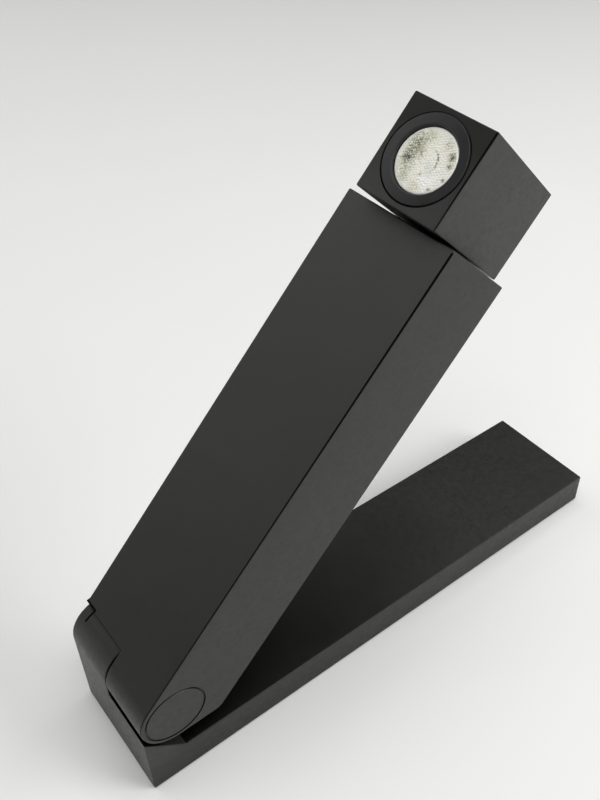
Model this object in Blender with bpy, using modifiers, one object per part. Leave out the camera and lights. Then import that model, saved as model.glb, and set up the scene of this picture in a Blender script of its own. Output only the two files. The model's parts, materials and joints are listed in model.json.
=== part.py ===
"""Folding LED desk lamp: a weighted base bar, a hinged block arm and a head that turns on the arm's end.

Lengths are in metres. X runs along the base from its hinge end, Y across it and Z up from the table.
The arm stands at its opening angle and the head at its turn, as the lamp is used.
"""

import math

import bmesh
import bpy
from mathutils import Matrix, Vector

# Driving dimensions of the three blocks
WIDTH = 0.060
BASE_LENGTH = 0.273
BASE_TOP = 0.018
ARM_DEPTH = 0.041
HEAD_HEIGHT = 0.041
HINGE_RADIUS = 0.0158
FOLD_GAP = 0.0006
HEAD_GAP = 0.0014
FOOT_GAP = 0.0006
EDGE_ROUND = 0.0006
OPENING_DEGREES = 46.37
TURN_DEGREES = 5.41

# Clearances and cutter overrun
FIT_GAP = 0.0003
OVERRUN = 0.002
SAME_POINT = 0.000001
DIGITS = 9
FLAT_DEGREES = 0.5
EDGE_DEGREES = 30.0

# Facets of round pieces
FINE_STEPS = 48
ROUND_STEPS = 24
SMALL_STEPS = 12

# Hinge end
KNUCKLE_WIDTH = 0.0297
HINGE_SIDE_GAP = 0.0010
LIP_GAP = 0.0012
NOTCH_GAP = 0.0018
NOTCH_RELIEF = 0.0007
RELIEF_WIDTH = 0.0072
SEAT_FILLET = 0.005
SEAM_WIDTH = 0.0009
SEAM_DEPTH = 0.0010
SEAM_FROM_FAR = 0.0053
SEAM_LOW_DEGREES = 96.0
SEAM_HIGH_DEGREES = 131.4
SEAT_DEGREES = 225.0
SEAT_SLOPE_DEGREES = 45.0

# Hinge stack
CAP_RADIUS = 0.01335
CAP_GROOVE = 0.00085
CAP_THICKNESS = 0.0016
CAP_LEDGE = 0.0010
CAP_PEG_LENGTH = 0.0008
NEAR_POCKET_DEPTH = 0.0118
FAR_POCKET_DEPTH = 0.0084
AXLE_RADIUS = 0.005
AXLE_BORE = 0.0022
AXLE_FLANGE_RADIUS = 0.0095
AXLE_FLANGE_THICKNESS = 0.0025
BUSH_WALL = 0.0012
WASHER_RADIUS = 0.011
SPRING_RADIUS = 0.0105
SPRING_THICKNESS = 0.0010
SPRING_DISH = 0.0003
NUT_FLAT_RADIUS = 0.008
NUT_THICKNESS = 0.003

# Base
BASE_WALL = 0.0024
BASE_ROOF = 0.0030
BASE_NECK_WALL = 0.0044
COVER_RIM = 0.0012
COVER_THICKNESS = 0.0015
COVER_INSET = 0.0003
FOOT_RADIUS = 0.006
FOOT_THICKNESS = 0.0015
FOOT_CHAMFER = 0.0003
FOOT_FROM_END = 0.012
FOOT_FROM_SIDE = 0.009
BALLAST_THICKNESS = 0.009
BASE_BOSS_RADIUS = 0.0035
BASE_BOSS_NEAR = 0.006
BASE_BOSS_FAR = 0.023
BASE_BOSS_SIDE = 0.0092
INLET_LENGTH = 0.014
INLET_WIDTH = 0.011
INLET_HEIGHT = 0.009
INLET_NOSE_RADIUS = 0.0038
INLET_BORE_RADIUS = 0.0028
INLET_BORE_DEPTH = 0.0095
INLET_PIN_RADIUS = 0.0010
LEAD_RADIUS = 0.0012
LEAD_DUCT_RADIUS = 0.0019

# Arm
ARM_WALL = 0.0022
ARM_END_WALL = 0.0040
ARM_NOTCH_WALL = 0.0034
ARM_RIM = 0.0012
ARM_RIM_END = 0.0016
ARM_COVER_THICKNESS = 0.0016
ARM_BOSS_RADIUS = 0.0035
ARM_BOSS_FROM_END = 0.0055
ARM_BOSS_FROM_SIDE = 0.0078
DRIVER_WIDTH = 0.034
DRIVER_THICKNESS = 0.0016
DRIVER_LEAD_SPACE = 0.054
DRIVER_END_SPACE = 0.0398
DRIVER_POST_HEIGHT = 0.005
DRIVER_POST_RADIUS = 0.003
DRIVER_POST_INSET = 0.004
COIL_SIZE = 0.016
COIL_HEIGHT = 0.012
CAN_RADIUS = 0.005
CAN_HEIGHT = 0.014
CHIP_SIZE = 0.008
CHIP_HEIGHT = 0.003

# Swivel between arm and head
SHAFT_RADIUS = 0.005
SHAFT_BORE = 0.003
SHAFT_FLANGE_RADIUS = 0.009
SHAFT_FLANGE_THICKNESS = 0.002
SWIVEL_BUSH_WALL = 0.0016
SWIVEL_FLANGE_RADIUS = 0.0095
SWIVEL_FLANGE_THICKNESS = 0.001
SWIVEL_NUT_FLAT_RADIUS = 0.0075
SWIVEL_NUT_THICKNESS = 0.003
SPACER_RADIUS = 0.011
STOP_RING_RADIUS = 0.009
STOP_RING_THICKNESS = 0.0012
STOP_TAB_REACH = 0.0137
STOP_TAB_WIDTH = 0.0008
STOP_PIN_RADIUS = 0.0006
STOP_PIN_FROM_AXIS = 0.0125
STOP_PIN_DEGREES = 185.2
STOP_PIN_STANDOFF = 0.0036

# Head
HEAD_WALL = 0.0020
HEAD_FRONT = 0.0030
HEAD_FLOOR = 0.0030
HEAD_RIM = 0.0009
HEAD_COVER_THICKNESS = 0.0018
HEAD_BOSS_RADIUS = 0.0024
HEAD_BOSS_FROM_SIDE = 0.0042
BEZEL_FROM_SIDE = 0.00275
BEZEL_GROOVE = 0.0007
BEZEL_THICKNESS = 0.0024
LENS_RADIUS = 0.0130
LENS_RECESS = 0.0009
LENS_PLATE = 0.0020
LENS_CONE_DEPTH = 0.0095
LENS_CONE_RADIUS = 0.0115
LENS_FOOT_RADIUS = 0.0055
LENS_WELL_RADIUS = 0.0035
LENS_WELL_DEPTH = 0.0045
HOLDER_RADIUS = 0.0142
BOARD_RADIUS = 0.011
BOARD_THICKNESS = 0.0016
EMITTER_RADIUS = 0.0028
EMITTER_HEIGHT = 0.0016
SINK_SIDE_SPACE = 0.0020
SINK_LEAD_SPACE = 0.0032
SINK_END_SPACE = 0.0065
SINK_PLATE = 0.0040
SINK_FIN_LENGTH = 0.0270
SINK_FIN_THICKNESS = 0.0016
SINK_FINS = 7

# Fasteners
SCREW_HEAD_RADIUS = 0.0021
SCREW_SHANK_RADIUS = 0.0011
SCREW_HEAD_HEIGHT = 0.0010
SCREW_LENGTH = 0.0075
SOCKET_FLAT_RADIUS = 0.0007
SOCKET_DEPTH = 0.0006

# Places worked out from the driving dimensions
HALF_WIDTH = WIDTH / 2
BASE_START = -BASE_LENGTH / 2
BASE_END = BASE_LENGTH / 2
HINGE_X = BASE_START + HINGE_RADIUS
HINGE_Z = BASE_TOP + FOLD_GAP + ARM_DEPTH - HINGE_RADIUS
ARM_REACH = BASE_LENGTH - HINGE_RADIUS - HEAD_GAP - HEAD_HEIGHT
ARM_FRONT = HINGE_RADIUS
ARM_BACK = HINGE_RADIUS - ARM_DEPTH
KNUCKLE_NEAR = HALF_WIDTH - KNUCKLE_WIDTH
TONGUE_FAR = KNUCKLE_NEAR - HINGE_SIDE_GAP
NEAR_FLOOR = NEAR_POCKET_DEPTH - HALF_WIDTH
FAR_FLOOR = HALF_WIDTH - FAR_POCKET_DEPTH
POCKET_RADIUS = CAP_RADIUS + CAP_GROOVE
POCKET_BORE = CAP_RADIUS - CAP_LEDGE
AXLE_HOLE = AXLE_RADIUS + FIT_GAP
BASE_FLOOR_Z = FOOT_GAP + COVER_INSET + COVER_THICKNESS
BASE_CEILING = BASE_TOP - BASE_ROOF
BASE_CAVITY_START = HINGE_X + HINGE_RADIUS + BASE_NECK_WALL
BASE_CAVITY_END = BASE_END - BASE_WALL
BASE_CAVITY_HALF = HALF_WIDTH - BASE_WALL
LEAD_Z = BASE_CEILING - LEAD_RADIUS - FIT_GAP * 2
ARM_CAVITY_START = HINGE_RADIUS + NOTCH_GAP + ARM_NOTCH_WALL
ARM_CAVITY_END = ARM_REACH - ARM_END_WALL
ARM_CAVITY_HALF = HALF_WIDTH - ARM_WALL
ARM_CEILING = ARM_FRONT - ARM_WALL
DRIVER_START = ARM_CAVITY_START + DRIVER_LEAD_SPACE
DRIVER_END = ARM_CAVITY_END - DRIVER_END_SPACE
DRIVER_LENGTH = DRIVER_END - DRIVER_START
ARM_COVER_IN = ARM_BACK + ARM_COVER_THICKNESS
SECTION_CENTRE = (ARM_FRONT + ARM_BACK) / 2
HEAD_START = HEAD_GAP
HEAD_END = HEAD_GAP + HEAD_HEIGHT
HEAD_LENGTH_HALF = HEAD_HEIGHT / 2
HEAD_MIDDLE = HEAD_GAP + HEAD_LENGTH_HALF
HEAD_HALF = ARM_DEPTH / 2
HEAD_FACE = WIDTH / 2
HEAD_BACK = -WIDTH / 2
HEAD_COVER_IN = HEAD_BACK + HEAD_COVER_THICKNESS
HEAD_FLOOR_IN = HEAD_START + HEAD_FLOOR
BEZEL_RADIUS = min(HEAD_HALF, HEAD_LENGTH_HALF) - BEZEL_FROM_SIDE
LENS_TOP = HEAD_FACE - LENS_RECESS
LENS_PLATE_BACK = LENS_TOP - LENS_PLATE
LENS_BACK = LENS_PLATE_BACK - LENS_CONE_DEPTH
BOARD_TOP = LENS_BACK - FIT_GAP
BOARD_BACK = BOARD_TOP - BOARD_THICKNESS
SHAFT_FLANGE_TOP = HEAD_FLOOR_IN + FIT_GAP + SHAFT_FLANGE_THICKNESS
SINK_TOP = BOARD_BACK - FIT_GAP
SINK_START = SHAFT_FLANGE_TOP + SINK_LEAD_SPACE
SINK_END = HEAD_END - HEAD_WALL - SINK_END_SPACE
SINK_WIDTH = (HEAD_HALF - HEAD_WALL - SINK_SIDE_SPACE) * 2
OPENING = math.radians(OPENING_DEGREES)
TURN = math.radians(TURN_DEGREES)

# Directions
ALONG = Vector((1, 0, 0))
ACROSS = Vector((0, 1, 0))
UP = Vector((0, 0, 1))
PLANES = {
    "X": Matrix(((0, 0, 1), (1, 0, 0), (0, 1, 0))),
    "Y": Matrix(((1, 0, 0), (0, 0, -1), (0, 1, 0))),
    "Z": Matrix.Identity(3),
}


def clear_scene():
    """Removes every object of the open scene."""
    for thing in list(bpy.data.objects):
        bpy.data.objects.remove(thing, do_unlink=True)


def new_collection(name):
    """Makes a collection below the scene's own."""
    made = bpy.data.collections.new(name)
    bpy.context.scene.collection.children.link(made)
    return made


def new_material(name, colour, roughness, metallic):
    """Makes a Principled material."""
    made = bpy.data.materials.new(name)
    made.use_nodes = True
    shader = made.node_tree.nodes["Principled BSDF"]
    shader.inputs["Base Color"].default_value = (*colour, 1)
    shader.inputs["Roughness"].default_value = roughness
    shader.inputs["Metallic"].default_value = metallic
    return made


def make_materials():
    """The lamp's finishes."""
    return {
        "paint": new_material("satin_black_paint", (0.022, 0.022, 0.023), 0.42, 0),
        "trim": new_material("matt_black_trim", (0.012, 0.012, 0.012), 0.55, 0),
        "steel": new_material("zinc_plated_steel", (0.55, 0.55, 0.53), 0.35, 1),
        "ballast": new_material("raw_iron", (0.14, 0.135, 0.13), 0.6, 1),
        "aluminium": new_material("bare_aluminium", (0.72, 0.72, 0.71), 0.4, 1),
        "nylon": new_material("white_nylon", (0.7, 0.69, 0.65), 0.5, 0),
        "rubber": new_material("black_rubber", (0.015, 0.015, 0.015), 0.8, 0),
        "lens": new_material("clear_lens", (0.86, 0.87, 0.86), 0.12, 0),
        "emitter": new_material("led_phosphor", (0.85, 0.72, 0.2), 0.5, 0),
        "board": new_material("circuit_board", (0.03, 0.16, 0.07), 0.5, 0),
        "cable": new_material("cable_sheath", (0.02, 0.02, 0.02), 0.6, 0),
    }


class Bench:
    """Where new pieces and cutters go: two collections, one pivot and the finishes."""

    def __init__(self, parts, cutters, finishes, pivot):
        self.parts = parts
        self.cutters = cutters
        self.finishes = finishes
        self.pivot = pivot

    def on(self, pivot):
        """The same bench with its pieces hung on another pivot."""
        return Bench(self.parts, self.cutters, self.finishes, pivot)

    def add(self, name, mesh, finish):
        """Links a mesh as a piece with a finish, or as a cutter without one."""
        made = bpy.data.objects.new(name, mesh)
        made.parent = self.pivot
        if finish is None:
            self.cutters.objects.link(made)
            made.hide_render = True
            made.display_type = "WIRE"
            return made
        self.parts.objects.link(made)
        mesh.materials.append(self.finishes[finish])
        return made


def new_pivot(name, parent, location, turn, collection):
    """An empty on a joint's axis."""
    made = bpy.data.objects.new(name, None)
    collection.objects.link(made)
    made.parent = parent
    made.location = location
    made.rotation_euler = turn
    made.empty_display_size = HINGE_RADIUS
    return made


def arc(centre, radius, start_degrees, end_degrees, steps):
    """Points along an arc, both ends included."""
    points = []
    for index in range(steps + 1):
        turn = math.radians(start_degrees + (end_degrees - start_degrees) * index / steps)
        points.append((centre[0] + radius * math.cos(turn), centre[1] + radius * math.sin(turn)))
    return points


def hexagon(flat_radius):
    """A hexagon measured to its flats."""
    return arc((0, 0), flat_radius / math.cos(math.pi / 6), 0, 300, 5)


def mesh_from_object(thing):
    """Turns an object with all its modifiers into one closed mesh and takes the object away."""
    bpy.context.scene.collection.objects.link(thing)
    bpy.context.view_layer.update()
    ready = thing.evaluated_get(bpy.context.evaluated_depsgraph_get())
    mesh = bpy.data.meshes.new_from_object(ready)
    shape = bmesh.new()
    shape.from_mesh(mesh)
    bmesh.ops.remove_doubles(shape, verts=shape.verts, dist=SAME_POINT)
    flat = math.radians(FLAT_DEGREES)
    bmesh.ops.dissolve_limit(shape, angle_limit=flat, verts=shape.verts, edges=shape.edges)
    bmesh.ops.recalc_face_normals(shape, faces=shape.faces)
    shape.to_mesh(mesh)
    shape.free()
    bpy.data.objects.remove(thing, do_unlink=True)
    return mesh


def prism(bench, name, finish, outline, axis, low, high, centre=(0, 0)):
    """Extrudes a closed outline between two planes across an axis."""
    data = bpy.data.curves.new(name, "CURVE")
    data.dimensions = "2D"
    data.fill_mode = "BOTH"
    data.extrude = (high - low) / 2
    spline = data.splines.new("POLY")
    spline.points.add(len(outline) - 1)
    for point, (across, along) in zip(spline.points, outline):
        point.co = (round(centre[0] + across, DIGITS), round(centre[1] + along, DIGITS), 0, 1)
    spline.use_cyclic_u = True
    mesh = mesh_from_object(bpy.data.objects.new(name, data))
    mesh.transform(PLANES[axis].to_4x4())
    index = "XYZ".index(axis)
    for vertex in mesh.vertices:
        vertex.co[index] = high if vertex.co[index] > 0 else low
    return bench.add(name, mesh, finish)


def block(bench, name, finish, low, high):
    """A box between two corners."""
    low = Vector(low)
    high = Vector(high)
    size = high - low
    place = Matrix.Translation((low + high) / 2) @ Matrix.Diagonal((*size, 1))
    shape = bmesh.new()
    bmesh.ops.create_cube(shape, size=1, matrix=place)
    mesh = bpy.data.meshes.new(name)
    shape.to_mesh(mesh)
    shape.free()
    return bench.add(name, mesh, finish)


def square_turn(facing):
    """The exact turn from up to one of the six square directions."""
    turn = UP.rotation_difference(facing).to_matrix()
    return Matrix([[round(value) for value in row] for row in turn])


def add_turn(thing, steps):
    """Turns an object's profile round its own upright."""
    screw = thing.modifiers.new("turn", "SCREW")
    screw.steps = steps
    screw.render_steps = steps
    screw.use_merge_vertices = True
    screw.merge_threshold = SAME_POINT
    screw.use_smooth_shade = True


def turned(bench, name, finish, profile, place, facing, steps, closed=False):
    """Turns a profile of (radius, height) about a line through place, heights running along facing."""
    mesh = bpy.data.meshes.new(name)
    points = [(radius, 0, height) for radius, height in profile]
    edges = [(index, index + 1) for index in range(len(points) - 1)]
    if closed:
        edges.append((len(points) - 1, 0))
    mesh.from_pydata(points, edges, [])
    stand = Matrix.Translation(place) @ square_turn(facing).to_4x4()
    if finish is None:
        blank = bpy.data.objects.new(name, mesh)
        add_turn(blank, steps)
        solid = mesh_from_object(blank)
        solid.transform(stand)
        return bench.add(name, solid, finish)
    made = bench.add(name, mesh, finish)
    made.matrix_local = stand
    add_turn(made, steps)
    return made


def disc(bench, name, finish, radius, low, high, place, facing, steps):
    """A plain turned disc or rod."""
    profile = [(0, high), (radius, high), (radius, low), (0, low)]
    return turned(bench, name, finish, profile, place, facing, steps)


def ring(bench, name, finish, inner, outer, low, high, place, facing, steps):
    """A turned ring with a square section."""
    profile = [(inner, high), (outer, high), (outer, low), (inner, low)]
    return turned(bench, name, finish, profile, place, facing, steps, closed=True)


def combine(target, tool, operation):
    """Adds one Boolean with the exact solver."""
    made = target.modifiers.new(tool.name, "BOOLEAN")
    made.operation = operation
    made.solver = "EXACT"
    made.object = tool
    return made


def cut(target, *tools):
    """Takes the tools away from the target."""
    for tool in tools:
        combine(target, tool, "DIFFERENCE")


def join(target, *tools):
    """Fuses the tools into the target."""
    for tool in tools:
        combine(target, tool, "UNION")


def merge_flats(target):
    """Makes neighbouring faces of one plane a single face."""
    made = target.modifiers.new("flats", "DECIMATE")
    made.decimate_type = "DISSOLVE"
    made.angle_limit = math.radians(FLAT_DEGREES)


def round_edges(target, width, segments=2):
    """Rounds the sharp edges of what is built so far."""
    made = target.modifiers.new("edges", "BEVEL")
    made.width = width
    made.segments = segments
    made.limit_method = "ANGLE"
    made.angle_limit = math.radians(EDGE_DEGREES)
    return made


def tube(bench, name, finish, route, radius):
    """A round lead along a smooth route."""
    data = bpy.data.curves.new(name, "CURVE")
    data.dimensions = "3D"
    data.bevel_depth = radius
    data.bevel_resolution = 2
    data.use_fill_caps = True
    spline = data.splines.new("POLY")
    spline.points.add(len(route) - 1)
    for point, place in zip(spline.points, route):
        point.co = (*place, 1)
    mesh = mesh_from_object(bpy.data.objects.new(name, data))
    for face in mesh.polygons:
        face.use_smooth = True
    return bench.add(name, mesh, finish)


def bent_route(corners, radius, steps=5):
    """Straight runs between corners, joined by arcs of one bend radius."""
    route = [Vector(corners[0])]
    for before, corner, after in zip(corners, corners[1:], corners[2:]):
        before = Vector(before)
        corner = Vector(corner)
        after = Vector(after)
        back = (before - corner).normalized()
        ahead = (after - corner).normalized()
        half = back.angle(ahead) / 2
        reach = radius / math.tan(half)
        centre = corner + (back + ahead).normalized() * (radius / math.sin(half))
        start = corner + back * reach - centre
        end = corner + ahead * reach - centre
        sweep = start.angle(end)
        for index in range(steps + 1):
            share = index / steps
            spot = start * math.sin((1 - share) * sweep) + end * math.sin(share * sweep)
            route.append(centre + spot / math.sin(sweep))
    route.append(Vector(corners[-1]))
    return route


def screw_profile(grow):
    """A countersunk screw's half section, its head's face at height zero."""
    head = SCREW_HEAD_RADIUS + grow
    shank = SCREW_SHANK_RADIUS + grow
    end = -SCREW_LENGTH - grow
    return [(0, grow), (head, grow), (head, 0), (shank, -SCREW_HEAD_HEIGHT - grow), (shank, end), (0, end)]


def screw(bench, name, place, facing):
    """A countersunk screw with a hexagon socket."""
    profile = screw_profile(0)
    profile.pop(1)
    made = turned(bench, name, "steel", profile, place, facing, SMALL_STEPS)
    socket = prism(bench, name + "_socket", None, hexagon(SOCKET_FLAT_RADIUS), "Z", -SOCKET_DEPTH, OVERRUN)
    socket.matrix_local = Matrix.Translation(place) @ square_turn(facing).to_4x4()
    cut(made, socket)
    return made


def screw_hole(bench, name, place, facing):
    """The cutter that a countersunk screw sits in."""
    return turned(bench, name, None, screw_profile(FIT_GAP), place, facing, SMALL_STEPS)


def hex_nut(bench, name, flat_radius, bore, low, high, axis, centre, facing):
    """A hexagon nut with its bore."""
    made = prism(bench, name, "steel", hexagon(flat_radius), axis, low, high, centre)
    spots = {"X": (0, centre[0], centre[1]), "Y": (centre[0], 0, centre[1])}
    start = low - OVERRUN
    end = high + OVERRUN
    hole = disc(bench, name + "_bore", None, bore, start, end, spots[axis], facing, ROUND_STEPS)
    cut(made, hole)
    return made


def base_profile():
    """The bar's long section with the bevelled lip at its hinge end."""
    lip_sum = HINGE_X + HINGE_Z - (HINGE_RADIUS + LIP_GAP) * math.sqrt(2)
    return [
        (BASE_START, FOOT_GAP),
        (BASE_END, FOOT_GAP),
        (BASE_END, BASE_TOP),
        (lip_sum - BASE_TOP, BASE_TOP),
        (BASE_START, lip_sum - BASE_START),
    ]


def knuckle_profile():
    """The round hinge head on its neck, standing in the bar."""
    round_head = arc((HINGE_X, HINGE_Z), HINGE_RADIUS, 0, 180, 24)
    foot = (FOOT_GAP + BASE_TOP) / 2
    return [(HINGE_X + HINGE_RADIUS, foot), *round_head, (BASE_START, foot)]


def foot_places():
    """The four feet, hinge end first."""
    side = HALF_WIDTH - FOOT_FROM_SIDE
    ends = (BASE_START + FOOT_FROM_END, BASE_END - FOOT_FROM_END)
    return [(x, y) for x in ends for y in (-side, side)]


def base_boss_places():
    """The four screw bosses of the bottom cover."""
    side = HALF_WIDTH - BASE_BOSS_SIDE
    ends = (BASE_CAVITY_START + BASE_BOSS_NEAR, BASE_END - BASE_BOSS_FAR)
    return [(x, y) for x in ends for y in (-side, side)]


def seam_cutter(bench):
    """The short slot round the knuckle's top."""
    far = HALF_WIDTH - SEAM_FROM_FAR + SEAM_WIDTH / 2
    outer = arc((HINGE_X, HINGE_Z), HINGE_RADIUS + OVERRUN, SEAM_LOW_DEGREES, SEAM_HIGH_DEGREES, 8)
    inner = arc((HINGE_X, HINGE_Z), HINGE_RADIUS - SEAM_DEPTH, SEAM_HIGH_DEGREES, SEAM_LOW_DEGREES, 8)
    return prism(bench, "seam_slot", None, outer + inner, "Y", far - SEAM_WIDTH, far)


def make_base_body(bench):
    """The bar with its lip and knuckle, hollow from below."""
    hinge = (HINGE_X, 0, HINGE_Z)
    body = prism(bench, "base_body", "paint", base_profile(), "Y", -HALF_WIDTH, HALF_WIDTH)
    knuckle = prism(bench, "knuckle_form", None, knuckle_profile(), "Y", KNUCKLE_NEAR, HALF_WIDTH)
    join(body, knuckle)
    merge_flats(body)
    round_edges(body, EDGE_ROUND)
    cavity = block(
        bench,
        "base_cavity",
        None,
        (BASE_CAVITY_START, -BASE_CAVITY_HALF, -OVERRUN),
        (BASE_CAVITY_END, BASE_CAVITY_HALF, BASE_CEILING),
    )
    rim = BASE_WALL - COVER_RIM
    rebate = block(
        bench,
        "cover_rebate",
        None,
        (BASE_CAVITY_START - rim, -HALF_WIDTH + COVER_RIM, -OVERRUN),
        (BASE_END - COVER_RIM, HALF_WIDTH - COVER_RIM, BASE_FLOOR_Z + FIT_GAP),
    )
    cut(body, cavity, rebate)
    for index, (x, y) in enumerate(base_boss_places()):
        boss = disc(
            bench,
            f"base_boss_{index + 1}",
            None,
            BASE_BOSS_RADIUS,
            BASE_FLOOR_Z + FIT_GAP,
            BASE_CEILING + BASE_ROOF / 2,
            (x, y, 0),
            UP,
            SMALL_STEPS,
        )
        join(body, boss)
        hole = screw_hole(bench, f"base_hole_{index + 1}", (x, y, FOOT_GAP + COVER_INSET), -UP)
        cut(body, hole)
    for index, (x, y) in enumerate(foot_places()[:2]):
        cut(body, foot_recess(bench, f"body_foot_recess_{index + 1}", x, y))
    out = HALF_WIDTH + OVERRUN
    seat = HALF_WIDTH - CAP_THICKNESS - FIT_GAP
    start = KNUCKLE_NEAR - OVERRUN
    cap_seat = disc(bench, "far_cap_seat", None, POCKET_RADIUS, seat, out, hinge, ACROSS, FINE_STEPS)
    pocket = disc(bench, "far_pocket", None, POCKET_BORE, FAR_FLOOR, out, hinge, ACROSS, FINE_STEPS)
    bore = disc(bench, "knuckle_bore", None, AXLE_HOLE, start, HALF_WIDTH, hinge, ACROSS, ROUND_STEPS)
    cut(body, cap_seat, pocket, bore, neck_duct(bench), floor_duct(bench))
    cut(body, inlet_hole(bench), seam_cutter(bench))
    return body


def duct_y():
    """The lead's place across the knuckle, in the far pocket's free space."""
    outer = HALF_WIDTH - CAP_THICKNESS - FIT_GAP
    inner = FAR_FLOOR + FIT_GAP + AXLE_FLANGE_THICKNESS
    return (outer + inner) / 2


def duct_x():
    """The lead's place along the knuckle's neck, clear of the axle's flange."""
    return HINGE_X + AXLE_HOLE


def neck_duct(bench):
    """The upright duct from the base to the far pocket."""
    place = (duct_x(), duct_y(), 0)
    low = LEAD_Z - LEAD_DUCT_RADIUS
    return disc(bench, "neck_duct", None, LEAD_DUCT_RADIUS, low, HINGE_Z, place, UP, SMALL_STEPS)


def floor_duct(bench):
    """The level duct from the base cavity to the neck's duct."""
    half = LEAD_RADIUS + FIT_GAP
    low = (duct_x(), duct_y() - half, LEAD_Z - half)
    high = (BASE_CAVITY_START + OVERRUN, duct_y() + half, LEAD_Z + half)
    return block(bench, "floor_duct", None, low, high)


def inlet_z():
    """The power inlet's height: it stands on the bottom cover."""
    return BASE_FLOOR_Z + FIT_GAP + INLET_HEIGHT / 2


def inlet_hole(bench):
    """The round hole that the inlet's nose fills."""
    place = (0, 0, inlet_z())
    start = BASE_CAVITY_END - OVERRUN
    radius = INLET_NOSE_RADIUS + FIT_GAP
    return disc(bench, "inlet_hole", None, radius, start, BASE_END + OVERRUN, place, ALONG, ROUND_STEPS)


def foot_recess(bench, name, x, y):
    """The shallow round seat of one foot."""
    high = FOOT_THICKNESS + FIT_GAP
    return disc(bench, name, None, FOOT_RADIUS + FIT_GAP, -OVERRUN, high, (x, y, 0), UP, ROUND_STEPS)


def make_bottom_cover(bench):
    """The plate that closes the bar from below."""
    rim = BASE_WALL - COVER_RIM - FIT_GAP
    body = block(
        bench,
        "bottom_cover",
        "trim",
        (BASE_CAVITY_START - rim, -HALF_WIDTH + COVER_RIM + FIT_GAP, FOOT_GAP + COVER_INSET),
        (BASE_END - COVER_RIM - FIT_GAP, HALF_WIDTH - COVER_RIM - FIT_GAP, BASE_FLOOR_Z),
    )
    for index, (x, y) in enumerate(foot_places()[2:]):
        cut(body, foot_recess(bench, f"cover_foot_recess_{index + 1}", x, y))
    for index, (x, y) in enumerate(base_boss_places()):
        place = (x, y, FOOT_GAP + COVER_INSET)
        cut(body, screw_hole(bench, f"cover_hole_{index + 1}", place, -UP))
        screw(bench, f"base_screw_{index + 1}", place, -UP)
    return body


def make_feet(bench):
    """Four rubber feet."""
    for index, (x, y) in enumerate(foot_places()):
        profile = [
            (0, FOOT_THICKNESS),
            (FOOT_RADIUS, FOOT_THICKNESS),
            (FOOT_RADIUS, FOOT_CHAMFER),
            (FOOT_RADIUS - FOOT_CHAMFER, 0),
            (0, 0),
        ]
        turned(bench, f"foot_{index + 1}", "rubber", profile, (x, y, 0), UP, ROUND_STEPS)


def make_ballast(bench):
    """The iron plate between the bosses."""
    places = base_boss_places()
    start = places[0][0] + BASE_BOSS_RADIUS + FIT_GAP
    end = places[2][0] - BASE_BOSS_RADIUS - FIT_GAP
    half = BASE_CAVITY_HALF - FIT_GAP
    low = BASE_FLOOR_Z + FIT_GAP
    high = low + BALLAST_THICKNESS
    return block(bench, "ballast_plate", "ballast", (start, -half, low), (end, half, high))


def make_inlet(bench):
    """The power inlet in the bar's far end."""
    start = BASE_CAVITY_END - FIT_GAP - INLET_LENGTH
    low = inlet_z() - INLET_HEIGHT / 2
    body = block(
        bench,
        "dc_inlet",
        "trim",
        (start, -INLET_WIDTH / 2, low),
        (start + INLET_LENGTH, INLET_WIDTH / 2, low + INLET_HEIGHT),
    )
    place = (0, 0, inlet_z())
    middle = start + INLET_LENGTH / 2
    nose = disc(bench, "inlet_nose", None, INLET_NOSE_RADIUS, middle, BASE_END, place, ALONG, ROUND_STEPS)
    bore = ring(
        bench,
        "inlet_bore",
        None,
        INLET_PIN_RADIUS,
        INLET_BORE_RADIUS,
        BASE_END - INLET_BORE_DEPTH,
        BASE_END + OVERRUN,
        place,
        ALONG,
        SMALL_STEPS,
    )
    pin_trim = disc(
        bench,
        "inlet_pin_trim",
        None,
        INLET_BORE_RADIUS - FIT_GAP,
        BASE_END - INLET_PIN_RADIUS,
        BASE_END + OVERRUN,
        place,
        ALONG,
        SMALL_STEPS,
    )
    join(body, nose)
    cut(body, bore, pin_trim)
    return body


def make_base_lead(bench):
    """The lead from the inlet along the bar, up the neck and into the hollow axle."""
    start = BASE_CAVITY_END - FIT_GAP - INLET_LENGTH - LEAD_RADIUS
    duct = (duct_x(), duct_y())
    mid = start - INLET_LENGTH / 2
    corners = [
        (start, 0, inlet_z()),
        (mid, 0, LEAD_Z),
        (BASE_CAVITY_START + WIDTH, duct[1], LEAD_Z),
        (duct[0], duct[1], LEAD_Z),
        (duct[0], duct[1], HINGE_Z - LEAD_DUCT_RADIUS),
    ]
    route = bent_route(corners, LEAD_DUCT_RADIUS)
    return tube(bench, "base_lead", "cable", route, LEAD_RADIUS)


def make_cap(bench, name, side, hinge):
    """A flush round cap over a hinge pocket, with a locating ring behind."""
    facing = ACROSS * side
    low = HALF_WIDTH - CAP_THICKNESS
    peg = POCKET_BORE - FIT_GAP
    wall = CAP_LEDGE
    edge = CAP_LEDGE / 4
    profile = [
        (0, HALF_WIDTH),
        (CAP_RADIUS - edge, HALF_WIDTH),
        (CAP_RADIUS, HALF_WIDTH - edge),
        (CAP_RADIUS, low),
        (peg, low),
        (peg, low - CAP_PEG_LENGTH),
        (peg - wall, low - CAP_PEG_LENGTH),
        (peg - wall, low),
        (0, low),
    ]
    return turned(bench, name, "paint", profile, hinge, facing, FINE_STEPS)


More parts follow.
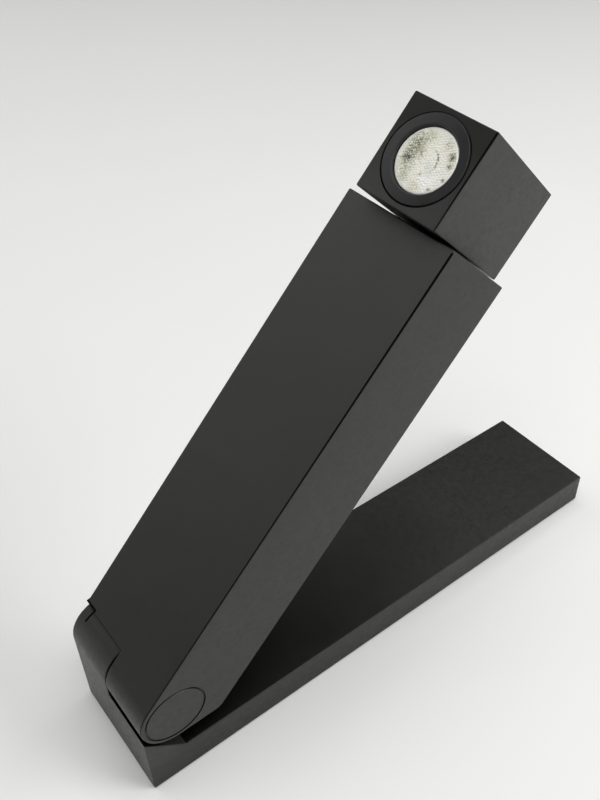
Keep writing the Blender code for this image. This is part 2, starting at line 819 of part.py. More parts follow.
def make_hinge_stack(bench):
    """The fixed axle with its nut, springs and washer."""
    hinge = (HINGE_X, 0, HINGE_Z)
    spring_low = []
    level = NEAR_FLOOR
    for _ in range(2):
        level -= FIT_GAP + SPRING_THICKNESS + SPRING_DISH
        spring_low.append(level)
    nut_high = level - FIT_GAP
    nut_low = nut_high - NUT_THICKNESS
    flange_low = FAR_FLOOR + FIT_GAP
    flange_high = flange_low + AXLE_FLANGE_THICKNESS
    axle = [
        (AXLE_BORE, flange_high),
        (AXLE_FLANGE_RADIUS, flange_high),
        (AXLE_FLANGE_RADIUS, flange_low),
        (AXLE_RADIUS, flange_low),
        (AXLE_RADIUS, nut_low - FIT_GAP),
        (AXLE_BORE, nut_low - FIT_GAP),
    ]
    turned(bench, "hinge_axle", "steel", axle, hinge, ACROSS, ROUND_STEPS, closed=True)
    for index, low in enumerate(spring_low):
        high = low + SPRING_THICKNESS
        profile = [
            (AXLE_HOLE, high + SPRING_DISH),
            (SPRING_RADIUS, high),
            (SPRING_RADIUS, low),
            (AXLE_HOLE, low + SPRING_DISH),
        ]
        turned(bench, f"disc_spring_{index + 1}", "steel", profile, hinge, ACROSS, ROUND_STEPS, closed=True)
    centre = (HINGE_X, HINGE_Z)
    hex_nut(bench, "axle_nut", NUT_FLAT_RADIUS, AXLE_HOLE, nut_low, nut_high, "Y", centre, ACROSS)
    ring(
        bench,
        "friction_washer",
        "nylon",
        AXLE_HOLE,
        WASHER_RADIUS,
        TONGUE_FAR + FIT_GAP,
        KNUCKLE_NEAR - FIT_GAP,
        hinge,
        ACROSS,
        ROUND_STEPS,
    )


def make_base(bench):
    """Everything that stays with the table."""
    make_base_body(bench)
    make_bottom_cover(bench)
    make_feet(bench)
    make_ballast(bench)
    make_inlet(bench)
    make_base_lead(bench)
    make_hinge_stack(bench)
    make_cap(bench, "far_hinge_cap", 1, (HINGE_X, 0, HINGE_Z))


def arm_profile():
    """The arm's long section: the round hinge end, its flat seat and the block."""
    round_end = arc((0, 0), HINGE_RADIUS, 90, SEAT_DEGREES, 18)
    low = round_end[-1]
    slope_end = low[0] + (low[1] - ARM_BACK)
    reach = SEAT_FILLET * math.tan(math.radians(SEAT_SLOPE_DEGREES / 2))
    centre = (slope_end + reach, ARM_BACK + SEAT_FILLET)
    heel = arc(centre, SEAT_FILLET, SEAT_DEGREES, 270, 6)
    return [(ARM_REACH, ARM_BACK), (ARM_REACH, ARM_FRONT), *round_end, *heel]


def notch_profile(radius):
    """The space that the knuckle turns in."""
    low = ARM_BACK - OVERRUN
    left = -HINGE_RADIUS - OVERRUN
    return [(left, low), (radius, low), *arc((0, 0), radius, 0, 90, 16), (left, radius)]


def arm_boss_places():
    """The four screw bosses of the back cover."""
    side = ARM_CAVITY_HALF - ARM_BOSS_FROM_SIDE
    ends = (ARM_CAVITY_START + ARM_BOSS_FROM_END, ARM_CAVITY_END - ARM_BOSS_FROM_END)
    return [(x, y) for x in ends for y in (-side, side)]


def driver_post_places():
    """The two posts under the driver board."""
    return [(DRIVER_START + DRIVER_POST_INSET, 0), (DRIVER_END - DRIVER_POST_INSET, 0)]


def near_duct_y():
    """The lead's place across the tongue, between the nut and the cap."""
    return -ARM_CAVITY_HALF + LEAD_DUCT_RADIUS + FIT_GAP


def make_arm_body(bench):
    """The block with its tongue, notched for the knuckle and hollow from the back."""
    body = prism(bench, "arm_body", "paint", arm_profile(), "Y", -HALF_WIDTH, HALF_WIDTH)
    round_edges(body, EDGE_ROUND)
    notch_radius = HINGE_RADIUS + NOTCH_GAP
    out = HALF_WIDTH + OVERRUN
    notch = prism(bench, "knuckle_notch", None, notch_profile(notch_radius), "Y", TONGUE_FAR, out)
    relief_profile = notch_profile(notch_radius + NOTCH_RELIEF)
    relief_start = HALF_WIDTH - RELIEF_WIDTH
    relief = prism(bench, "notch_relief", None, relief_profile, "Y", relief_start, out)
    cut(body, notch, relief)
    cavity = block(
        bench,
        "arm_cavity",
        None,
        (ARM_CAVITY_START, -ARM_CAVITY_HALF, ARM_BACK - OVERRUN),
        (ARM_CAVITY_END, ARM_CAVITY_HALF, ARM_CEILING),
    )
    rebate = block(
        bench,
        "back_rebate",
        None,
        (HINGE_RADIUS + NOTCH_GAP + ARM_RIM_END, -HALF_WIDTH + ARM_RIM, ARM_BACK - OVERRUN),
        (ARM_REACH - ARM_RIM_END, HALF_WIDTH - ARM_RIM, ARM_COVER_IN + FIT_GAP),
    )
    cut(body, cavity, rebate)
    for index, (x, y) in enumerate(arm_boss_places()):
        boss = disc(
            bench,
            f"arm_boss_{index + 1}",
            None,
            ARM_BOSS_RADIUS,
            ARM_COVER_IN + FIT_GAP,
            ARM_CEILING + ARM_WALL / 2,
            (x, y, 0),
            UP,
            SMALL_STEPS,
        )
        join(body, boss)
        cut(body, screw_hole(bench, f"arm_hole_{index + 1}", (x, y, ARM_BACK), -UP))
    for index, (x, y) in enumerate(driver_post_places()):
        name = f"driver_post_{index + 1}"
        low = ARM_CEILING - DRIVER_POST_HEIGHT
        high = ARM_CEILING + ARM_WALL / 2
        join(body, disc(bench, name, None, DRIVER_POST_RADIUS, low, high, (x, y, 0), UP, SMALL_STEPS))
    origin = (0, 0, 0)
    seat = HALF_WIDTH - CAP_THICKNESS - FIT_GAP
    start = -TONGUE_FAR - OVERRUN
    bore_radius = AXLE_HOLE + BUSH_WALL + FIT_GAP
    duct_place = (0, near_duct_y(), 0)
    duct_end = ARM_CAVITY_START + OVERRUN
    cap_seat = disc(bench, "near_cap_seat", None, POCKET_RADIUS, seat, out, origin, -ACROSS, FINE_STEPS)
    pocket = disc(bench, "near_pocket", None, POCKET_BORE, -NEAR_FLOOR, out, origin, -ACROSS, FINE_STEPS)
    bore = disc(bench, "tongue_bore", None, bore_radius, start, HALF_WIDTH, origin, -ACROSS, ROUND_STEPS)
    duct = disc(
        bench, "tongue_duct", None, LEAD_DUCT_RADIUS, AXLE_HOLE, duct_end, duct_place, ALONG, SMALL_STEPS
    )
    section = (0, 0, SECTION_CENTRE)
    swivel_bore = disc(
        bench,
        "swivel_bore",
        None,
        SHAFT_RADIUS + SWIVEL_BUSH_WALL + FIT_GAP * 2,
        ARM_CAVITY_END - OVERRUN,
        ARM_REACH + OVERRUN,
        section,
        ALONG,
        ROUND_STEPS,
    )
    pin_hole = disc(
        bench,
        "stop_pin_hole",
        None,
        STOP_PIN_RADIUS + FIT_GAP,
        ARM_CAVITY_END - OVERRUN,
        stop_pin_end() + FIT_GAP,
        stop_pin_place(),
        ALONG,
        SMALL_STEPS,
    )
    cut(body, cap_seat, pocket, bore, duct, swivel_bore, pin_hole)
    return body


def make_back_cover(bench):
    """The plate in the arm's back with its screws."""
    gap = ARM_RIM + FIT_GAP
    body = block(
        bench,
        "arm_back_cover",
        "paint",
        (HINGE_RADIUS + NOTCH_GAP + ARM_RIM_END + FIT_GAP, -HALF_WIDTH + gap, ARM_BACK),
        (ARM_REACH - ARM_RIM_END - FIT_GAP, HALF_WIDTH - gap, ARM_COVER_IN),
    )
    for index, (x, y) in enumerate(arm_boss_places()):
        place = (x, y, ARM_BACK)
        cut(body, screw_hole(bench, f"back_cover_hole_{index + 1}", place, -UP))
        screw(bench, f"arm_screw_{index + 1}", place, -UP)
    return body


def make_driver(bench):
    """The driver board with its coil, capacitor and chip."""
    high = ARM_CEILING - DRIVER_POST_HEIGHT - FIT_GAP
    low = high - DRIVER_THICKNESS
    half = DRIVER_WIDTH / 2
    body = block(bench, "driver_board", "board", (DRIVER_START, -half, low), (DRIVER_END, half, high))
    middle = (DRIVER_START + DRIVER_END) / 2
    coil = block(
        bench,
        "driver_coil",
        None,
        (middle - COIL_SIZE / 2, -COIL_SIZE / 2, low - COIL_HEIGHT),
        (middle + COIL_SIZE / 2, COIL_SIZE / 2, high - DRIVER_THICKNESS / 2),
    )
    round_edges(coil, COIL_SIZE / 12)
    can_place = (DRIVER_START + DRIVER_LENGTH / 4, 0, 0)
    can_top = high - DRIVER_THICKNESS / 2
    can = disc(
        bench, "driver_can", None, CAN_RADIUS, low - CAN_HEIGHT, can_top, can_place, UP, SMALL_STEPS
    )
    chip_x = DRIVER_END - DRIVER_LENGTH / 4
    chip = block(
        bench,
        "driver_chip",
        None,
        (chip_x - CHIP_SIZE / 2, -CHIP_SIZE / 2, low - CHIP_HEIGHT),
        (chip_x + CHIP_SIZE / 2, CHIP_SIZE / 2, high - DRIVER_THICKNESS / 2),
    )
    join(body, coil, can, chip)
    return body


def make_arm_leads(bench):
    """The supply lead from the hinge to the driver, and the lead from the driver to the swivel."""
    board_high = ARM_CEILING - DRIVER_POST_HEIGHT - FIT_GAP
    board_middle = board_high - DRIVER_THICKNESS / 2
    bend = LEAD_RADIUS * 5
    start = AXLE_HOLE + NUT_FLAT_RADIUS / 2
    corners = [
        (start, near_duct_y(), 0),
        (ARM_CAVITY_START + bend * 2, near_duct_y(), 0),
        (DRIVER_START - bend * 3, 0, board_middle),
        (DRIVER_START - FIT_GAP, 0, board_middle),
    ]
    tube(bench, "supply_lead", "cable", bent_route(corners, bend), LEAD_RADIUS)
    board_end = DRIVER_END + FIT_GAP
    lead_end = shaft_low() - FIT_GAP
    corners = [
        (board_end, 0, board_middle),
        (board_end + bend, 0, board_middle),
        (lead_end - bend, 0, SECTION_CENTRE),
        (lead_end, 0, SECTION_CENTRE),
    ]
    tube(bench, "lamp_lead", "cable", bent_route(corners, LEAD_RADIUS * 3), LEAD_RADIUS)


def swivel_levels():
    """The heights of the swivel's stack inside the arm's end wall, outermost first."""
    flange_high = ARM_CAVITY_END - FIT_GAP
    flange_low = flange_high - SWIVEL_FLANGE_THICKNESS
    stop_high = flange_low - FIT_GAP
    stop_low = stop_high - STOP_RING_THICKNESS
    nut_high = stop_low - FIT_GAP
    nut_low = nut_high - SWIVEL_NUT_THICKNESS
    return flange_high, flange_low, stop_high, stop_low, nut_high, nut_low


def shaft_low():
    """The shaft's end inside the arm."""
    return swivel_levels()[-1] - FIT_GAP


def stop_pin_place():
    """The stop pin's line in the arm's end wall, where it ends the head's turn both ways."""
    turn = math.radians(STOP_PIN_DEGREES)
    across = -math.sin(turn) * STOP_PIN_FROM_AXIS
    return (0, across, SECTION_CENTRE + math.cos(turn) * STOP_PIN_FROM_AXIS)


def stop_pin_end():
    """How far the stop pin reaches into the end wall."""
    return ARM_CAVITY_END + ARM_END_WALL / 2


def make_swivel_seat(bench):
    """The bush, spacer and stop pin that stay with the arm."""
    section = (0, 0, SECTION_CENTRE)
    flange_high, flange_low = swivel_levels()[:2]
    inner = SHAFT_RADIUS + FIT_GAP
    outer = inner + SWIVEL_BUSH_WALL
    profile = [
        (inner, ARM_REACH - FIT_GAP),
        (outer, ARM_REACH - FIT_GAP),
        (outer, flange_high),
        (SWIVEL_FLANGE_RADIUS, flange_high),
        (SWIVEL_FLANGE_RADIUS, flange_low),
        (inner, flange_low),
    ]
    turned(bench, "swivel_bush", "nylon", profile, section, ALONG, ROUND_STEPS, closed=True)
    ring(
        bench,
        "swivel_spacer",
        "trim",
        inner,
        SPACER_RADIUS,
        ARM_REACH + FIT_GAP,
        ARM_REACH + HEAD_GAP - FIT_GAP,
        section,
        ALONG,
        ROUND_STEPS,
    )
    low = ARM_CAVITY_END - STOP_PIN_STANDOFF
    place = stop_pin_place()
    disc(bench, "stop_pin", "steel", STOP_PIN_RADIUS, low, stop_pin_end(), place, ALONG, SMALL_STEPS)


def make_hinge_bush(bench):
    """The plain bush in the tongue."""
    inner = AXLE_HOLE
    return ring(
        bench,
        "hinge_bush",
        "nylon",
        inner,
        inner + BUSH_WALL,
        NEAR_FLOOR,
        TONGUE_FAR - FIT_GAP,
        (0, 0, 0),
        ACROSS,
        ROUND_STEPS,
    )


def make_arm(bench):
    """Everything that swings with the arm."""
    make_arm_body(bench)
    make_back_cover(bench)
    make_cap(bench, "near_hinge_cap", -1, (0, 0, 0))
    make_hinge_bush(bench)
    make_driver(bench)
    make_arm_leads(bench)
    make_swivel_seat(bench)


def head_boss_places():
    """The four screw bosses of the head's back cover."""
    along = HEAD_LENGTH_HALF - HEAD_BOSS_FROM_SIDE
    across = HEAD_HALF - HEAD_BOSS_FROM_SIDE
    return [(HEAD_MIDDLE + x, y) for x in (-along, along) for y in (-across, across)]


def make_housing(bench):
    """The head's block, bored for the lens and hollow from the back."""
    body = block(
        bench,
        "head_housing",
        "paint",
        (HEAD_START, -HEAD_HALF, HEAD_BACK),
        (HEAD_END, HEAD_HALF, HEAD_FACE),
    )
    round_edges(body, EDGE_ROUND)
    cavity = block(
        bench,
        "head_cavity",
        None,
        (HEAD_FLOOR_IN, -HEAD_HALF + HEAD_WALL, HEAD_BACK - OVERRUN),
        (HEAD_END - HEAD_WALL, HEAD_HALF - HEAD_WALL, HEAD_FACE - HEAD_FRONT),
    )
    rebate = block(
        bench,
        "head_rebate",
        None,
        (HEAD_START + HEAD_RIM, -HEAD_HALF + HEAD_RIM, HEAD_BACK - OVERRUN),
        (HEAD_END - HEAD_RIM, HEAD_HALF - HEAD_RIM, HEAD_COVER_IN + FIT_GAP),
    )
    cut(body, cavity, rebate)
    for index, (x, y) in enumerate(head_boss_places()):
        end = HEAD_BACK + SCREW_LENGTH + OVERRUN
        side_x = HEAD_MIDDLE + math.copysign(HEAD_LENGTH_HALF - HEAD_WALL / 2, x - HEAD_MIDDLE)
        side_y = math.copysign(HEAD_HALF - HEAD_WALL / 2, y)
        inner_x = x - math.copysign(HEAD_BOSS_RADIUS, x - HEAD_MIDDLE)
        inner_y = y - math.copysign(HEAD_BOSS_RADIUS, y)
        boss = block(
            bench,
            f"head_boss_{index + 1}",
            None,
            (min(side_x, inner_x), min(side_y, inner_y), HEAD_COVER_IN + FIT_GAP),
            (max(side_x, inner_x), max(side_y, inner_y), end),
        )
        join(body, boss)
        cut(body, screw_hole(bench, f"head_hole_{index + 1}", (x, y, HEAD_BACK), -UP))
    bore = disc(
        bench,
        "bezel_bore",
        None,
        BEZEL_RADIUS + BEZEL_GROOVE,
        HEAD_FACE - HEAD_FRONT - OVERRUN,
        HEAD_FACE + OVERRUN,
        (HEAD_MIDDLE, 0, 0),
        UP,
        FINE_STEPS,
    )
    shaft_bore = disc(
        bench,
        "shaft_bore",
        None,
        SHAFT_RADIUS + FIT_GAP,
        HEAD_START - OVERRUN,
        HEAD_FLOOR_IN + OVERRUN,
        (0, 0, 0),
        ALONG,
        ROUND_STEPS,
    )
    cut(body, bore, shaft_bore)
    return body


def make_head_cover(bench):
    """The plate in the head's back with its screws."""
    gap = HEAD_RIM + FIT_GAP
    body = block(
        bench,
        "head_back_cover",
        "paint",
        (HEAD_START + gap, -HEAD_HALF + gap, HEAD_BACK),
        (HEAD_END - gap, HEAD_HALF - gap, HEAD_COVER_IN),
    )
    for index, (x, y) in enumerate(head_boss_places()):
        place = (x, y, HEAD_BACK)
        cut(body, screw_hole(bench, f"head_cover_hole_{index + 1}", place, -UP))
        screw(bench, f"head_screw_{index + 1}", place, -UP)
    return body


def make_shaft(bench):
    """The hollow shaft with its flange in the head, its nut and stop ring in the arm."""
    flange_low = SHAFT_FLANGE_TOP - SHAFT_FLANGE_THICKNESS
    low = shaft_low() - ARM_REACH
    profile = [
        (SHAFT_BORE, SHAFT_FLANGE_TOP),
        (SHAFT_FLANGE_RADIUS, SHAFT_FLANGE_TOP),
        (SHAFT_FLANGE_RADIUS, flange_low),
        (SHAFT_RADIUS, flange_low),
        (SHAFT_RADIUS, low),
        (SHAFT_BORE, low),
    ]
    origin = (0, 0, 0)
    turned(bench, "swivel_shaft", "steel", profile, origin, ALONG, ROUND_STEPS, closed=True)
    stop_high, stop_low, nut_high, nut_low = (level - ARM_REACH for level in swivel_levels()[2:])
    inner = SHAFT_RADIUS + FIT_GAP
    stop = ring(
        bench,
        "stop_ring",
        "steel",
        inner,
        STOP_RING_RADIUS,
        stop_low,
        stop_high,
        origin,
        ALONG,
        ROUND_STEPS,
    )
    half = STOP_TAB_WIDTH / 2
    tab = block(
        bench,
        "stop_tab",
        None,
        (stop_low, -half, (inner + STOP_RING_RADIUS) / 2),
        (stop_high, half, STOP_TAB_REACH),
    )
    join(stop, tab)
    hex_nut(bench, "swivel_nut", SWIVEL_NUT_FLAT_RADIUS, inner, nut_low, nut_high, "X", (0, 0), ALONG)


def comb_profile():
    """The heat sink's cross section: a plate with even fins behind it."""
    plate_back = SINK_TOP - SINK_PLATE
    fin_end = plate_back - SINK_FIN_LENGTH
    pitch = (SINK_WIDTH - SINK_FIN_THICKNESS) / (SINK_FINS - 1)
    points = [(-SINK_WIDTH / 2, SINK_TOP), (SINK_WIDTH / 2, SINK_TOP)]
    for index in reversed(range(SINK_FINS)):
        left = -SINK_WIDTH / 2 + pitch * index
        right = left + SINK_FIN_THICKNESS
        if index < SINK_FINS - 1:
            points.append((right, plate_back))
        points.append((right, fin_end))
        points.append((left, fin_end))
        if index > 0:
            points.append((left, plate_back))
    return points


def make_light_engine(bench):
    """The lens in its holder, the LED on its board and the heat sink behind."""
    place = (HEAD_MIDDLE, 0, 0)
    lens = [
        (0, LENS_TOP),
        (LENS_RADIUS, LENS_TOP),
        (LENS_RADIUS, LENS_PLATE_BACK),
        (LENS_CONE_RADIUS, LENS_PLATE_BACK),
        (LENS_FOOT_RADIUS, LENS_BACK),
        (LENS_WELL_RADIUS, LENS_BACK),
        (LENS_WELL_RADIUS, LENS_BACK + LENS_WELL_DEPTH),
        (0, LENS_BACK + LENS_WELL_DEPTH),
    ]
    turned(bench, "lens", "lens", lens, place, UP, FINE_STEPS)
    rim_top = LENS_PLATE_BACK - FIT_GAP
    holder = [
        (LENS_CONE_RADIUS + FIT_GAP, rim_top),
        (HOLDER_RADIUS, rim_top),
        (HOLDER_RADIUS, LENS_BACK + FIT_GAP),
        (BOARD_RADIUS, LENS_BACK),
        (LENS_FOOT_RADIUS + FIT_GAP * 2, LENS_BACK),
    ]
    turned(bench, "lens_holder", "trim", holder, place, UP, ROUND_STEPS, closed=True)
    bezel_back = HEAD_FACE - BEZEL_THICKNESS
    inner = LENS_RADIUS + FIT_GAP
    bezel = [
        (inner, HEAD_FACE - LENS_RECESS / 3),
        (inner + LENS_RECESS / 3, HEAD_FACE),
        (BEZEL_RADIUS, HEAD_FACE),
        (BEZEL_RADIUS, bezel_back),
        (inner, bezel_back),
    ]
    turned(bench, "bezel_ring", "trim", bezel, place, UP, FINE_STEPS, closed=True)
    disc(bench, "led_board", "aluminium", BOARD_RADIUS, BOARD_BACK, BOARD_TOP, place, UP, ROUND_STEPS)
    emitter_low = BOARD_TOP + FIT_GAP
    emitter = [
        (0, emitter_low + EMITTER_HEIGHT),
        (EMITTER_RADIUS / 2, emitter_low + EMITTER_HEIGHT * 5 / 6),
        (EMITTER_RADIUS, emitter_low + EMITTER_HEIGHT / 3),
        (EMITTER_RADIUS, emitter_low),
        (0, emitter_low),
    ]
    turned(bench, "led_emitter", "emitter", emitter, place, UP, SMALL_STEPS)
    prism(bench, "heat_sink", "aluminium", comb_profile(), "X", SINK_START, SINK_END)


def make_head_lead(bench):
    """The lead from the shaft past the heat sink to the LED board."""
    level = (SHAFT_FLANGE_TOP + SINK_START) / 2
    radius = LEAD_RADIUS * 2 / 3
    corners = [
        (HEAD_START, 0, 0),
        (level, 0, 0),
        (level, 0, BOARD_BACK),
    ]
    return tube(bench, "head_lead", "cable", bent_route(corners, radius * 2), radius)


def make_head(bench):
    """Everything that turns with the head."""
    make_housing(bench)
    make_head_cover(bench)
    make_shaft(bench)
    make_light_engine(bench)
    make_head_lead(bench)


def main():
    """Builds the lamp."""
    clear_scene()
    parts = new_collection("folding_desk_lamp")
    cutters = new_collection("folding_desk_lamp_cutters")
    root = new_pivot("lamp_origin", None, (0, 0, 0), (0, 0, 0), parts)
    arm = new_pivot("arm_pivot", root, (HINGE_X, 0, HINGE_Z), (0, -OPENING, 0), parts)
    head = new_pivot("head_pivot", arm, (ARM_REACH, 0, SECTION_CENTRE), (TURN, 0, 0), parts)
    bench = Bench(parts, cutters, make_materials(), root)
    make_base(bench)
    make_arm(bench.on(arm))
    make_head(bench.on(head))


main()
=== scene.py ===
import json
import math

import bmesh
import bpy
from mathutils import Euler, Matrix, Vector
from mathutils import noise as noise_field


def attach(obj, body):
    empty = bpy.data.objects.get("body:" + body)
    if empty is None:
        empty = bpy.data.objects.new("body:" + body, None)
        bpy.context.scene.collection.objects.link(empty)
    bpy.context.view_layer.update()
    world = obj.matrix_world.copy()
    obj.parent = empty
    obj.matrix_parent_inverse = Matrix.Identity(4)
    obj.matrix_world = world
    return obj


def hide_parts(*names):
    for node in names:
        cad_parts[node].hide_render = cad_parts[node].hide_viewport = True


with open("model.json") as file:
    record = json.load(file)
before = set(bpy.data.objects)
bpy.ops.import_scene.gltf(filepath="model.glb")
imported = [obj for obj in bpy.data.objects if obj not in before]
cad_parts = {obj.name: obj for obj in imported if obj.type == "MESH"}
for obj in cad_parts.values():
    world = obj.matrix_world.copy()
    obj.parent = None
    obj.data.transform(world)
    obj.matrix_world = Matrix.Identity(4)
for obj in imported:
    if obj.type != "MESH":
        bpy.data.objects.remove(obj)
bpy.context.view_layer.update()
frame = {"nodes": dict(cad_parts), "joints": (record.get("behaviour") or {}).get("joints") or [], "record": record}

NODES = frame["nodes"]
JOINTS = {joint["name"]: joint for joint in frame["joints"]}

# The image and the camera
IMAGE_LONG_SIDE = 800
FOCAL_PIXELS = 922.0206
SENSOR_LONG_SIDE = 36.0
CAMERA_PLACE = (-0.1941428, -0.22595603, 0.38631293)
CAMERA_DEGREES = (49.005175, -0.317811, -38.587374)
CAMERA_SHIFT = -0.05
CLIP_START = 0.01
CLIP_END = 20.0

# Sizes of the lamp, in metres; the arm's are measured from the hinge's axis
HALF_WIDTH = 0.030
EDGE_ROUND = 0.0006
ARM_FRONT = 0.0158
ARM_REACH = 0.2148
HEAD_GAP = 0.0014
HEAD_HEIGHT = 0.041
HEAD_HALF = 0.0205
LENS_RADIUS = 0.0130
LENS_TOP = 0.0291
LENS_PLATE = 0.0020
LENS_MIDDLE = HEAD_GAP + HEAD_HEIGHT / 2

# How far the head is turned about the arm at rest, in degrees
HEAD_TURN = 5.41


def axes_at(joint, turn_degrees):
    """A frame at a joint: x along the arm, z out of its front, both turned about x."""
    along = Vector(JOINTS["head_swivel"]["axis"]).normalized()
    across = Vector((0.0, 1.0, 0.0))
    turn = Matrix.Rotation(math.radians(turn_degrees), 3, along)
    axes = Matrix((along, turn @ across, turn @ along.cross(across))).transposed().to_4x4()
    return Matrix.Translation(joint["pos_m"]) @ axes


ARM = axes_at(JOINTS["arm_fold"], 0.0)
HEAD = axes_at(JOINTS["head_swivel"], HEAD_TURN)


# Camera and lamps
def make_camera():
    data = bpy.data.cameras.new("photo_camera")
    data.sensor_width = SENSOR_LONG_SIDE
    data.lens = FOCAL_PIXELS / IMAGE_LONG_SIDE * SENSOR_LONG_SIDE
    data.shift_x = CAMERA_SHIFT
    data.clip_start = CLIP_START
    data.clip_end = CLIP_END
    camera = bpy.data.objects.new("photo_camera", data)
    camera.location = CAMERA_PLACE
    camera.rotation_euler = Euler([math.radians(a) for a in CAMERA_DEGREES], "XYZ")
    bpy.context.collection.objects.link(camera)
    bpy.context.scene.camera = camera


LAMP_AIM = Vector((0.0, 0.0, 0.08))
LAMP_DISTANCE = 1.6
LAMPS = [
    # name, azimuth, elevation, size, watts
    ("overhead_soft", 0.0, 88.0, 1.8, 16.9),
    ("camera_side_soft", -131.0, 65.0, 1.0, 5.3),
    ("right_soft", -50.0, 30.0, 1.0, 15.3),
    ("far_right_soft", 0.0, 30.0, 1.0, 3.2),
    ("back_soft", 95.0, 30.0, 1.0, 3.9),
    ("left_high_soft", 139.0, 45.0, 1.0, 2.4),
]


def make_lamp(name, azimuth, elevation, size, watts):
    data = bpy.data.lights.new(name, "AREA")
    data.shape = "DISK"
    data.size = size
    data.energy = watts
    lamp = bpy.data.objects.new(name, data)
    a = math.radians(azimuth)
    e = math.radians(elevation)
    away = Vector((math.cos(a) * math.cos(e), math.sin(a) * math.cos(e), math.sin(e)))
    lamp.location = LAMP_AIM + away * LAMP_DISTANCE
    lamp.rotation_euler = away.to_track_quat("Z", "Y").to_euler()
    bpy.context.collection.objects.link(lamp)


# Node helpers. The colour Mix node's sockets share their names, so they go by number
MIX_SHARE, MIX_FIRST, MIX_SECOND, MIX_RESULT = 0, 6, 7, 2
OPENNESS_SAMPLES = 8
# The painted sheen's face is the one whose normal has this much of the axes' z
PAINTED_SHEEN_FACING = (0.80, 0.95)


def grey(value):
    return (value, value, value)


def feed(tree, node, inputs):
    """Links each named input of a node to the socket given for it, or sets it to the value."""
    for key, value in inputs.items():
        if isinstance(value, bpy.types.NodeSocket):
            tree.links.new(value, node.inputs[key])
        else:
            node.inputs[key].default_value = value


def add_node(tree, kind, inputs=None):
    node = tree.nodes.new("ShaderNode" + kind)
    feed(tree, node, inputs or {})
    return node


def mix_node(tree, share, first, second, blend="MIX"):
    node = add_node(tree, "Mix")
    node.data_type = "RGBA"
    node.blend_type = blend
    feed(tree, node, {MIX_SHARE: share, MIX_FIRST: first, MIX_SECOND: second})
    return node.outputs[MIX_RESULT]


class Recipe:
    """A material's node tree, with short ways to add the nodes that the recipes share."""

    def __init__(self, name, roughness, metallic=0.0):
        self.material = bpy.data.materials.new(name)
        self.material.use_nodes = True
        self.tree = self.material.node_tree
        self.shader = self.tree.nodes["Principled BSDF"]
        feed(self.tree, self.shader, {"Roughness": roughness, "Metallic": metallic})
        coordinates = self.node("TexCoord")
        self.place = coordinates.outputs["Object"]
        self.facing = coordinates.outputs["Normal"]

    def node(self, kind, inputs=None):
        return add_node(self.tree, kind, inputs)

    def stretched(self, scale):
        """The place, stretched by a scale for each axis."""
        return self.node("Mapping", {"Scale": scale, "Vector": self.place}).outputs["Vector"]

    def noise(self, scale, detail=2.0, rough=0.5, place=None):
        return self.node("TexNoise", {
            "Scale": scale, "Detail": detail, "Roughness": rough, "Vector": place or self.place,
        }).outputs["Fac"]

    def cells(self, scale, feature="F1", metric="EUCLIDEAN"):
        node = self.node("TexVoronoi", {"Scale": scale, "Vector": self.place})
        node.feature = feature
        node.distance = metric
        return node.outputs["Distance"]

    def ramp(self, source, stops):
        """Colours by a value, from stops of value and colour."""
        node = self.node("ValToRGB", {"Fac": source})
        elements = node.color_ramp.elements
        while len(elements) < len(stops):
            elements.new(0.5)
        for element, (position, colour) in zip(elements, stops):
            element.position = position
            element.color = (*colour, 1.0)
        return node.outputs["Color"]

    def spread(self, source, low, high, start=0.3, end=0.7):
        """Maps a value from start and end to low and high."""
        return self.node("MapRange", {
            "Value": source, "From Min": start, "From Max": end, "To Min": low, "To Max": high,
        }).outputs["Result"]

    def mix(self, share, first, second):
        return mix_node(self.tree, share, first, second)

    def multiply(self, first, second):
        return mix_node(self.tree, 1.0, first, second, "MULTIPLY")

    def dot(self, source, direction):
        node = self.node("VectorMath", {0: source, 1: direction})
        node.operation = "DOT_PRODUCT"
        return node.outputs["Value"]

    def openness(self, reach):
        """How open the surface is: 1 where nothing stands within reach."""
        node = self.node("AmbientOcclusion", {"Distance": reach})
        node.samples = OPENNESS_SAMPLES
        return node.outputs["AO"]

    def painted_sheen(self, axes, way, start, end):
        """Painted sheen: the share of reflection painted on the face turned to the axes' z, between
        two places along a way.

        The start and the end are each a distance along the way and the share there.
        """
        away = self.node("VectorMath", {0: self.place, 1: axes.translation})
        away.operation = "SUBTRACT"
        along = self.dot(away.outputs["Vector"], axes.to_3x3() @ Vector(way))
        share = self.spread(along, start[1], end[1], start[0], end[0])
        facing = self.dot(self.facing, axes.to_3x3() @ Vector((0.0, 0.0, 1.0)))
        return self.mix(self.spread(facing, 0.0, 1.0, *PAINTED_SHEEN_FACING), (*grey(1.0), 1.0), share)

    def bump(self, height, depth, strength=1.0, under=None):
        inputs = {"Strength": strength, "Distance": depth, "Height": height}
        if under:
            inputs["Normal"] = under
        return self.node("Bump", inputs).outputs["Normal"]

    def shade(self, **inputs):
        """Feeds the shader's inputs, named with _ for a space, and gives the material."""
        feed(self.tree, self.shader, {key.replace("_", " "): inputs[key] for key in inputs})
        return self.material


# The room: pale walls up to WALL_TOP degrees above the horizon, then a dark ceiling
WALL_COLOUR = (0.715, 0.717, 0.695, 1.0)
CEILING_COLOUR = (0.02, 0.02, 0.02, 1.0)
WALL_TOP = 14.0
CEILING_START = 30.0


